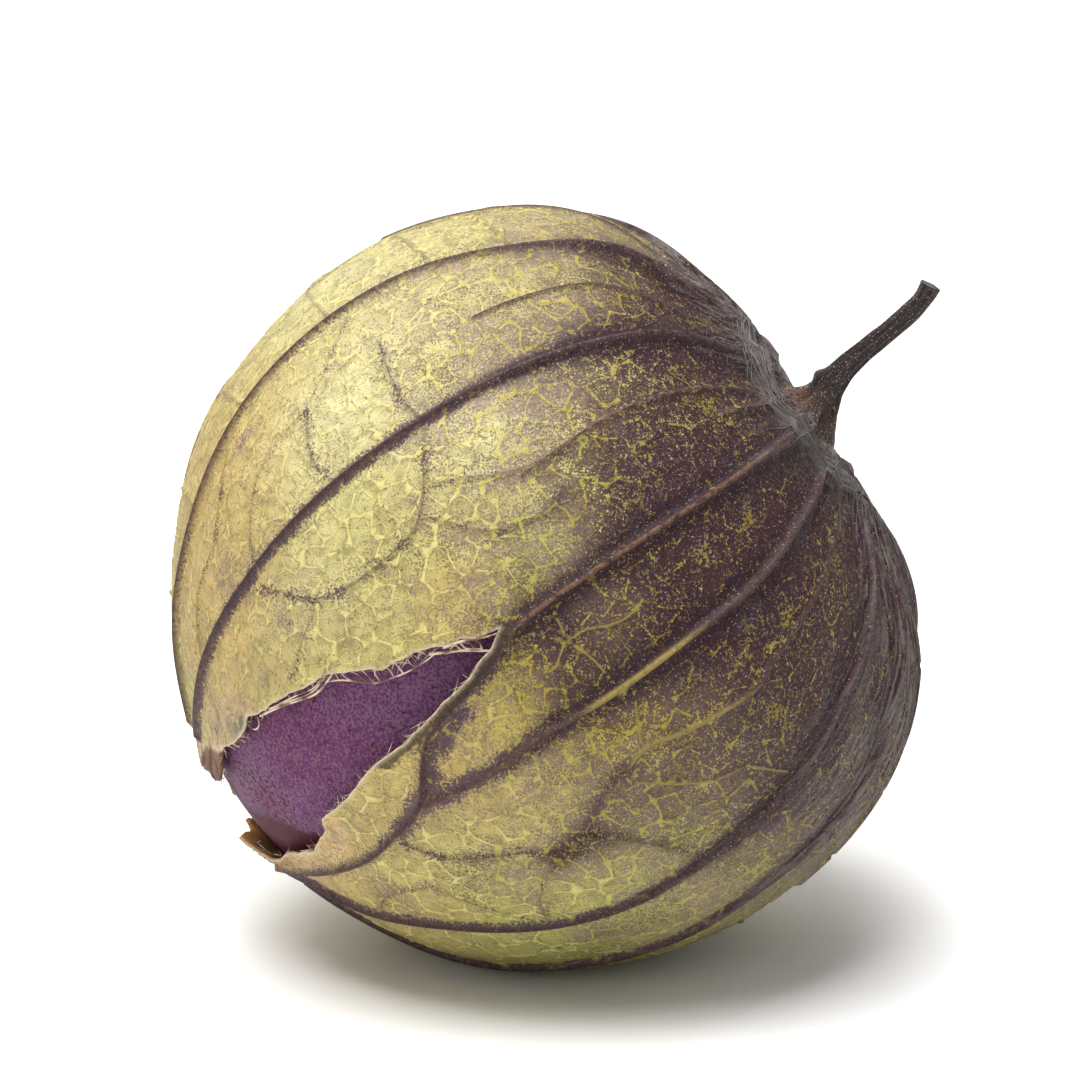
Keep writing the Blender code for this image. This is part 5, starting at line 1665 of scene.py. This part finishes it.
def stem_mesh():
    """The stem, ridged and a little crooked, with a nub and a dry cut end."""
    settings = bpy.context.scene.stem_settings
    draw = np.random.default_rng(17)
    flat = round_corners(np.array(STEM_PATH, float), 3)
    run = np.concatenate([[0], np.cumsum(np.hypot(*(flat[1:] - flat[:-1]).T))])
    places = run[-1] * np.linspace(0, 1, settings.rings) ** RING_CROWDING
    x, z = np.interp(places, run, flat[:, 0]), np.interp(places, run, flat[:, 1])
    ahead = np.column_stack([np.gradient(x, places), np.gradient(z, places)])
    ahead /= np.hypot(ahead[:, 0], ahead[:, 1])[:, None]
    ease_in = np.clip(places / STRAIGHT_RUN, 0, 1)[:, None]
    ahead = (1 - ease_in) * np.array([AXIS.x, AXIS.z]) + ease_in * ahead
    ahead /= np.hypot(ahead[:, 0], ahead[:, 1])[:, None]
    x = np.concatenate([[x[0] + AXIS.x * FOOT], x])
    z = np.concatenate([[z[0] + AXIS.z * FOOT], z])
    ahead = np.vstack([ahead[:1], ahead])
    places = np.concatenate([[FOOT], places])
    turn = 2 * np.pi * np.arange(settings.sides) / settings.sides
    radius = np.interp(places, *np.array(STEM_RADII).T)[:, None]
    flare = hump(np.maximum(places, 0), FLARE_REACH)[:, None]
    ridges = RIDGE_SHARE * np.cos(STEM_RIDGES * turn[None, :] + RIDGE_TWIST * places[:, None])
    fine = np.cos(FOOT_RIDGES * turn[None, :] - FOOT_RIDGE_TWIST * places[:, None] + 1.0)
    ridges += (FOOT_RIDGE_SHARE + FOOT_RIDGE_FLARE * flare) * fine
    knots = draw.uniform(-1, 1, (KNOT_ROWS, KNOT_COLUMNS))
    rough = np.array([[wrapped(knots, row, column) for column in turn / (2 * np.pi) * KNOT_COLUMNS]
                      for row in (places + 0.4) / KNOT_SPACING])
    side = np.maximum(0, np.cos(turn[None, :] - np.pi / 2)) ** 3
    nub = NUB_HEIGHT * side * hump(places[:, None] - NUB_PLACE, NUB_REACH)
    size = radius * (1 + ridges + KNOT_SHARE * rough) + nub
    up = np.column_stack([-ahead[:, 1], np.zeros(len(places)), ahead[:, 0]])
    middle = np.column_stack([x, np.zeros(len(places)), z + CENTRE_HEIGHT])
    ways = np.cos(turn)[None, :, None] * np.array(SIDE) + np.sin(turn)[None, :, None] * up[:, None, :]
    points = (middle[:, None, :] + size[:, :, None] * ways).reshape(-1, 3)
    end = middle[-1] - np.array([ahead[-1, 0], 0, ahead[-1, 1]]) * CUT_DISH
    faces = tube_faces(len(places), settings.sides)
    steps = np.repeat(places, settings.sides)
    turns = np.tile(turn, len(places))
    rust = hump(steps, RUST_REACH) * (0.3 + 0.7 * np.maximum(0, np.sin(turns)))
    values = {"rust": np.append(rust, [0, 0]),
              "cut": np.append(smooth_step(*CUT_RANGE, steps), [0, 1]),
              "turn_x": np.append(np.cos(turns), [0, 0]),
              "turn_y": np.append(np.sin(turns), [0, 0]),
              "run": np.append(steps, [0, steps[-1]]),
              "hairs": np.append(np.ones(len(steps)), [0, 0])}
    item = mesh_object("stem_stalk", np.vstack([points, middle[:1], [end]]), faces, values)
    weld(item)
    return item


def wrapped(knots, row, column):
    """Smooth noise from a table of knots that wraps round in its columns."""
    r, c = int(row) % knots.shape[0], int(column) % knots.shape[1]
    r1, c1 = (r + 1) % knots.shape[0], (c + 1) % knots.shape[1]
    u, v = row - int(row), column - int(column)
    u, v = u * u * (3 - 2 * u), v * v * (3 - 2 * v)
    low = knots[r, c] * (1 - v) + knots[r, c1] * v
    high = knots[r1, c] * (1 - v) + knots[r1, c1] * v
    return low * (1 - u) + high * u


class TOMATILLO_OT_stem(bpy.types.Operator):
    """Make the stem with its flared foot"""
    bl_idname = "tomatillo.stem"
    bl_label = "Stem"

    def execute(self, context):
        dress(stem_mesh(), stem_material(), "stem_wood", "stem")
        return {"FINISHED"}


# Nothing loose comes nearer to the floor than this, in millimetres.
THREAD_FLOOR = 0.05


def on_husk(points, lift):
    """Places in millimetres a little above the husk's plain outer face."""
    return place(points, np.broadcast_to(lift, len(points)), THREAD_FLOOR)


# Strands that hang in the tear, as places of PSI and LAM, with their thickness and lift in
# millimetres: first those that run along the upper edge, then those by the narrow end.
LONG_STRANDS = [
    ([(134, -23.4), (132, -22.8), (128.6, -21.9), (125.4, -20.7), (121.6, -19.4), (118.5, -19.8),
      (115.9, -20.8)], 0.1, 0.35),
    ([(131, -23), (127, -21.7), (122, -20.0), (118.8, -20.4), (116.6, -21.4)], 0.06, 0.45),
    ([(129, -22.4), (124, -21.3), (120.5, -20.2), (117.6, -21.2), (115.4, -22.2)], 0.045, 0.55),
    ([(119, -20.2), (116.3, -19.0), (113.9, -16.9), (111.6, -15.1), (109.9, -14.8), (106.8, -14.0),
      (103.4, -13.8), (100.8, -14.0)], 0.075, 0.1),
    ([(99.5, -14.0), (96.5, -13.4), (94.4, -12.2), (91.4, -11.4)], 0.09, 0.42),
    ([(102, -14.4), (98, -12.5), (95.8, -11.0), (93.8, -9.8)], 0.11, 0.1),
    ([(100, -13.2), (97, -12.2), (95.0, -10.9)], 0.05, 0.2),
]
# Short strands from one place to another, with the sideways bow in millimetres.
SHORT_STRANDS = [
    (132.5, -24, 131, -22.6, 0.1), (130, -23.4, 128.4, -22, -0.1), (126.6, -22.6, 126, -21, 0.1),
    (124, -22, 123, -20.3, 0.0), (121.4, -21.6, 120.8, -19.6, 0.1), (115.6, -19.9, 114.9, -17.9, 0.1),
    (114.2, -19.2, 112.9, -16.3, -0.1), (112.4, -18.3, 111.8, -15.2, 0.0), (110.6, -17.5, 110.8, -15.0, 0.1),
    (109, -16.9, 108.6, -14.5, -0.1), (107.2, -16.3, 107, -14.1, 0.0), (105.2, -15.7, 104.8, -13.9, 0.1),
    (98, -13.7, 97.6, -12.4, 0.0), (97, -13.3, 96.6, -11.8, 0.1), (96, -12.9, 95.9, -11.2, 0.0),
    (95, -12.4, 95.1, -10.7, -0.1), (138.6, -24.6, 137.3, -22.2, 0.2), (137.3, -22.2, 135.4, -24, 0.2),
    (146.4, -25, 144.4, -22.4, 0.1), (144, -24, 142.4, -22.2, -0.1), (141, -24.2, 139.8, -22.6, 0.1),
]

# Loose ends on the torn edges: edge, how many, and how far they reach in millimetres.
LOOSE_ENDS = (("upper", 90, 0.75), ("lower", 70, 0.6))
LOOSE_THICK, SHORT_THICK = (0.018, 0.04), (0.025, 0.05)
LOOSE_LIFT, SHORT_LIFT = 0.22, 0.16
THREAD_POINTS = 7
STRAND_STEP = 0.35
# Fibres on the crown: how many and how thick in millimetres, along its folds and on its shoulder.
FOLD_FIBRES, FOLD_THICK = 170, (0.008, 0.016)
SHOULDER_FIBRES, SHOULDER_THICK = 420, (0.01, 0.022)
FIBRE_POINTS = 8
# Ranges in degrees of where fibres along the folds lie round the crown, start, and how long they are.
FOLD_FIBRE_LAM, FOLD_FIBRE_PSI, FOLD_FIBRE_RUN = (-150, 190), (13, 32), (3, 7)
BAND_STEP, BAND_SPREAD = 0.25, 0.55
# Height above the crown at which a fibre starts before it is laid down.
ABOVE_CROWN = 1.0


def torn_threads():
    """Threads at the torn edges: loose ends on both, and strands of bare vein in the tear."""
    draw = np.random.default_rng(31)
    outline, _, edges = husk_outline()
    threads = []
    for name, count, reach in LOOSE_ENDS:
        path = edges[name]
        side = across(path)
        side = np.where(inside(path + side * 0.25, outline)[:, None], -side, side)
        for _ in range(count):
            k = draw.integers(8, len(path) - 16)
            span = draw.integers(1, 7) * draw.choice([-1, 1])
            way = (path[k + span] - path[k]) * draw.uniform(0.3, 1.0)
            t = np.linspace(0, 1, THREAD_POINTS)[:, None]
            bow = side[k] * draw.uniform(0.1, 1.0) * reach
            curve = path[k] + way * t + bow * t ** draw.uniform(0.8, 1.8)
            lift = LOOSE_LIFT + draw.uniform(-0.3, 0.4) * t[:, 0]
            threads.append((on_husk(curve, lift), draw.uniform(*LOOSE_THICK) * (1.15 - t[:, 0])))
    for places, thick, lift in LONG_STRANDS:
        curve = smooth_path(places, 3, STRAND_STEP)
        t = np.linspace(0, 1, len(curve))
        threads.append((on_husk(curve, lift + 0.06 * np.sin(9 * t)), thick * (1.0 - 0.35 * t)))
    for psi_from, lam_from, psi_to, lam_to, bow in SHORT_STRANDS:
        ends = on_map([(psi_from, lam_from), (psi_to, lam_to)])
        t = np.linspace(0, 1, THREAD_POINTS)
        curve = ends[0] + (ends[1] - ends[0]) * t[:, None]
        curve = curve + across(curve) * (bow * np.sin(np.pi * t))[:, None]
        thick = draw.uniform(*SHORT_THICK) * (1 + 0.6 * np.abs(2 * t - 1))
        threads.append((on_husk(curve, SHORT_LIFT), thick))
    return threads


def crown_threads():
    """Grey fibres on the crown: some lie along its folds, and more along the band on its shoulder."""
    draw = np.random.default_rng(47)
    husk = bpy.data.objects["husk_paper"]
    threads = []
    t = np.linspace(0, 1, FIBRE_POINTS)
    for _ in range(FOLD_FIBRES):
        lam = draw.uniform(*FOLD_FIBRE_LAM)
        start, reach = draw.uniform(*FOLD_FIBRE_PSI), draw.uniform(*FOLD_FIBRE_RUN)
        drift = draw.uniform(-2.5, 2.5) * t
        curve = on_husk(np.column_stack(to_plane(start + reach * t, lam + drift)), ABOVE_CROWN)
        thick = draw.uniform(*FOLD_THICK)
        threads.append((laid_down(husk, curve, 0.01 + 0.03 * np.sin(np.pi * t)), thick * (1.1 - 0.8 * t)))
    band = smooth_path(SHOULDER, 3, BAND_STEP)
    side = across(band)
    for _ in range(SHOULDER_FIBRES):
        length = draw.integers(10, 34)
        k = draw.integers(0, len(band) - length)
        steps = k + (t * (length - 1)).astype(int)
        gap = draw.normal(0, BAND_SPREAD) + draw.uniform(-0.25, 0.25) * t
        curve = on_husk(band[steps] + side[steps] * gap[:, None], ABOVE_CROWN)
        thick = draw.uniform(*SHOULDER_THICK)
        threads.append((laid_down(husk, curve, 0.015 + 0.05 * np.sin(np.pi * t)), thick * (1.1 - 0.7 * t)))
    return threads


def laid_down(item, points, lift):
    """Points in millimetres moved onto a piece's surface, and lifted from it."""
    out = []
    for point, up in zip(points, lift):
        _, hit, normal, _ = item.closest_point_on_mesh(Vector(point) * MM)
        out.append(np.array(hit) / MM + np.array(normal) * up)
    return np.array(out)


class TOMATILLO_OT_fibres(bpy.types.Operator):
    """Make the pale threads in the tear and the grey ones on the crown"""
    bl_idname = "tomatillo.fibres"
    bl_label = "Torn fibres"

    def execute(self, context):
        settings = context.scene.husk_settings
        material = thread_material("torn fibre", settings.cream, settings.tan)
        grey_material = thread_material("crown fibre", settings.strand, settings.ash)
        tree = sweep_tree()
        for threads, finish, sides, name in ((torn_threads(), material, 6, "torn_fibres"),
                                             (crown_threads(), grey_material, 4, "crown_fibres")):
            guide = edge_guide("fibre_guide", threads)
            values = {"Sides": sides, "Thickness": 1.0, "Material": finish}
            dress(grown(guide, tree, values, name), finish, "husk_paper")
        return {"FINISHED"}


class TOMATILLO_OT_fuzz(bpy.types.Operator):
    """Scatter short grey hairs on the crown of the husk and on the stem"""
    bl_idname = "tomatillo.fuzz"
    bl_label = "Fuzz"

    def execute(self, context):
        settings = context.scene.fuzz_settings
        colours = context.scene.husk_settings
        material = thread_material("fuzz", colours.dust, colours.bloom_and_sheen)
        tree = hair_tree()
        dark = thread_material("stem fuzz", colours.strand, colours.ash)
        for source, density, length, lean, name, slot, finish in (
                ("husk_paper", settings.crown_density, settings.crown_length, 1.25, "crown_fuzz",
                 "husk_paper", material),
                ("stem_stalk", settings.stem_density, settings.stem_length, 0.9, "stem_fuzz",
                 "stem_wood", dark)):
            guide = hair_guide(source)
            values = {"Density": density, "Length": length, "Radius": settings.radius, "Lean": lean,
                      "Seed": 4, "Material": finish}
            dress(grown(guide, tree, values, name), finish, slot)
        return {"FINISHED"}


# How hairs thin out from the crown, how many grow between its ribs and on the other purple paper,
# and how many hair lengths they keep off the floor.
HAIR_FADE, HAIR_BETWEEN, HAIR_PURPLE = 1.5, 0.6, 0.015
HAIR_CLEARANCE = 1.5


def hair_guide(source):
    """A copy of a piece's mesh with a value that says where hairs grow."""
    data = bpy.data.objects[source].data.copy()
    if "hairs" not in data.attributes:
        tone = {}
        for name in ("crown", "inner", "purple", "dark_line"):
            tone[name] = np.empty(len(data.vertices), np.float32)
            data.attributes[name].data.foreach_get("value", tone[name])
        places = np.empty(3 * len(data.vertices), np.float32)
        data.vertices.foreach_get("co", places)
        clear = places[2::3] > HAIR_CLEARANCE * bpy.context.scene.fuzz_settings.crown_length
        hairs = tone["crown"] ** HAIR_FADE * (HAIR_BETWEEN + 0.4 * tone["dark_line"])
        hairs = (hairs + HAIR_PURPLE * tone["purple"]) * (tone["inner"] < 0.01) * clear
        set_values(data, "hairs", hairs)
    return linked("hair_guide", data)


class TOMATILLO_OT_stage(bpy.types.Operator):
    """Set up the pale floor, the soft lights and the camera"""
    bl_idname = "tomatillo.stage"
    bl_label = "Stage"

    def execute(self, context):
        make_floor()
        make_lights()
        make_camera(context.scene.stage_settings)
        return {"FINISHED"}


# The floor: colour and size in metres. The lights: place in millimetres, size in metres and power.
FLOOR_COLOUR, FLOOR_SIZE = (0.93, 0.93, 0.925, 1), 3.0
WORLD_STRENGTH = 0.43
LIGHTS = {"key": ((-85, -105, 560), 0.44, 5.65),
          "fill": ((-250, -420, 160), 0.4, 0.2),
          "back": ((-120, 400, 380), 0.4, 0.7)}


def make_floor():
    material = bpy.data.materials.new("floor")
    material.use_nodes = True
    tree = material.node_tree
    shader = tree.nodes["Principled BSDF"]
    shader.inputs["Base Color"].default_value = FLOOR_COLOUR
    shader.inputs["Roughness"].default_value = 0.9
    shader.inputs["Specular IOR Level"].default_value = 0.1
    mesh = bmesh.new()
    bmesh.ops.create_grid(mesh, x_segments=1, y_segments=1, size=FLOOR_SIZE)
    data = bpy.data.meshes.new("floor")
    mesh.to_mesh(data)
    mesh.free()
    data.materials.append(material)
    floor = linked("floor", data)


def make_lights():
    scene = bpy.context.scene
    world = bpy.data.worlds.new("studio")
    world.use_nodes = True
    sky = world.node_tree.nodes["Background"]
    sky.inputs["Color"].default_value = (1, 1, 1, 1)
    sky.inputs["Strength"].default_value = WORLD_STRENGTH
    scene.world = world
    for name, (place_mm, size, power) in LIGHTS.items():
        data = bpy.data.lights.new(name, "AREA")
        data.size = size
        data.energy = power
        lamp = linked(name, data)
        lamp.location = Vector(place_mm) * MM
        aim = CENTRE * MM - lamp.location
        lamp.rotation_euler = aim.to_track_quat("-Z", "Y").to_euler()
    scene.view_settings.view_transform = "Standard"
    scene.view_settings.look = "None"


def make_camera(settings):
    data = bpy.data.cameras.new("camera")
    data.lens = data.sensor_width * settings.camera_distance / settings.field
    lean = settings.camera_height
    back = Vector((0, -math.cos(lean), math.sin(lean)))
    right = Vector((1, 0, 0))
    up = back.cross(right)
    aim = CENTRE * MM + right * settings.aim_right + up * settings.aim_up
    camera = linked("camera", data)
    camera.location = aim + back * settings.camera_distance
    camera.rotation_euler = (-back).to_track_quat("-Z", "Y").to_euler()
    bpy.context.scene.camera = camera


class TOMATILLO_PT_panel(bpy.types.Panel):
    """Lists the pieces and their settings"""
    bl_label = "Tomatillo"
    bl_idname = "TOMATILLO_PT_panel"
    bl_space_type = "VIEW_3D"
    bl_region_type = "UI"
    bl_category = "Tomatillo"

    def draw(self, context):
        for operator, name in PIECES:
            self.layout.operator(operator.bl_idname)
            if name:
                group_of = getattr(context.scene, name)
                for key in group_of.bl_rna.properties.keys():
                    if key not in ("rna_type", "name"):
                        self.layout.prop(group_of, key)


SETTINGS = {
    "husk_settings": HuskSettings,
    "fruit_settings": FruitSettings,
    "stem_settings": StemSettings,
    "fuzz_settings": FuzzSettings,
    "stage_settings": StageSettings,
}
PIECES = [
    (TOMATILLO_OT_husk, "husk_settings"),
    (TOMATILLO_OT_fruit, "fruit_settings"),
    (TOMATILLO_OT_stem, "stem_settings"),
    (TOMATILLO_OT_fibres, None),
    (TOMATILLO_OT_fuzz, "fuzz_settings"),
    (TOMATILLO_OT_stage, "stage_settings"),
]
CLASSES = [*SETTINGS.values(), *(operator for operator, _ in PIECES), TOMATILLO_PT_panel]


def register():
    for item in CLASSES:
        bpy.utils.register_class(item)
    for name, kind in SETTINGS.items():
        setattr(bpy.types.Scene, name, PointerProperty(type=kind))


def unregister():
    for name in SETTINGS:
        delattr(bpy.types.Scene, name)
    for item in reversed(CLASSES):
        bpy.utils.unregister_class(item)


def main():
    register()
    bpy.ops.tomatillo.husk()
    bpy.ops.tomatillo.fruit()
    bpy.ops.tomatillo.stem()
    bpy.ops.tomatillo.fibres()
    bpy.ops.tomatillo.fuzz()
    bpy.ops.tomatillo.stage()


if __name__ == "__main__":
    main()
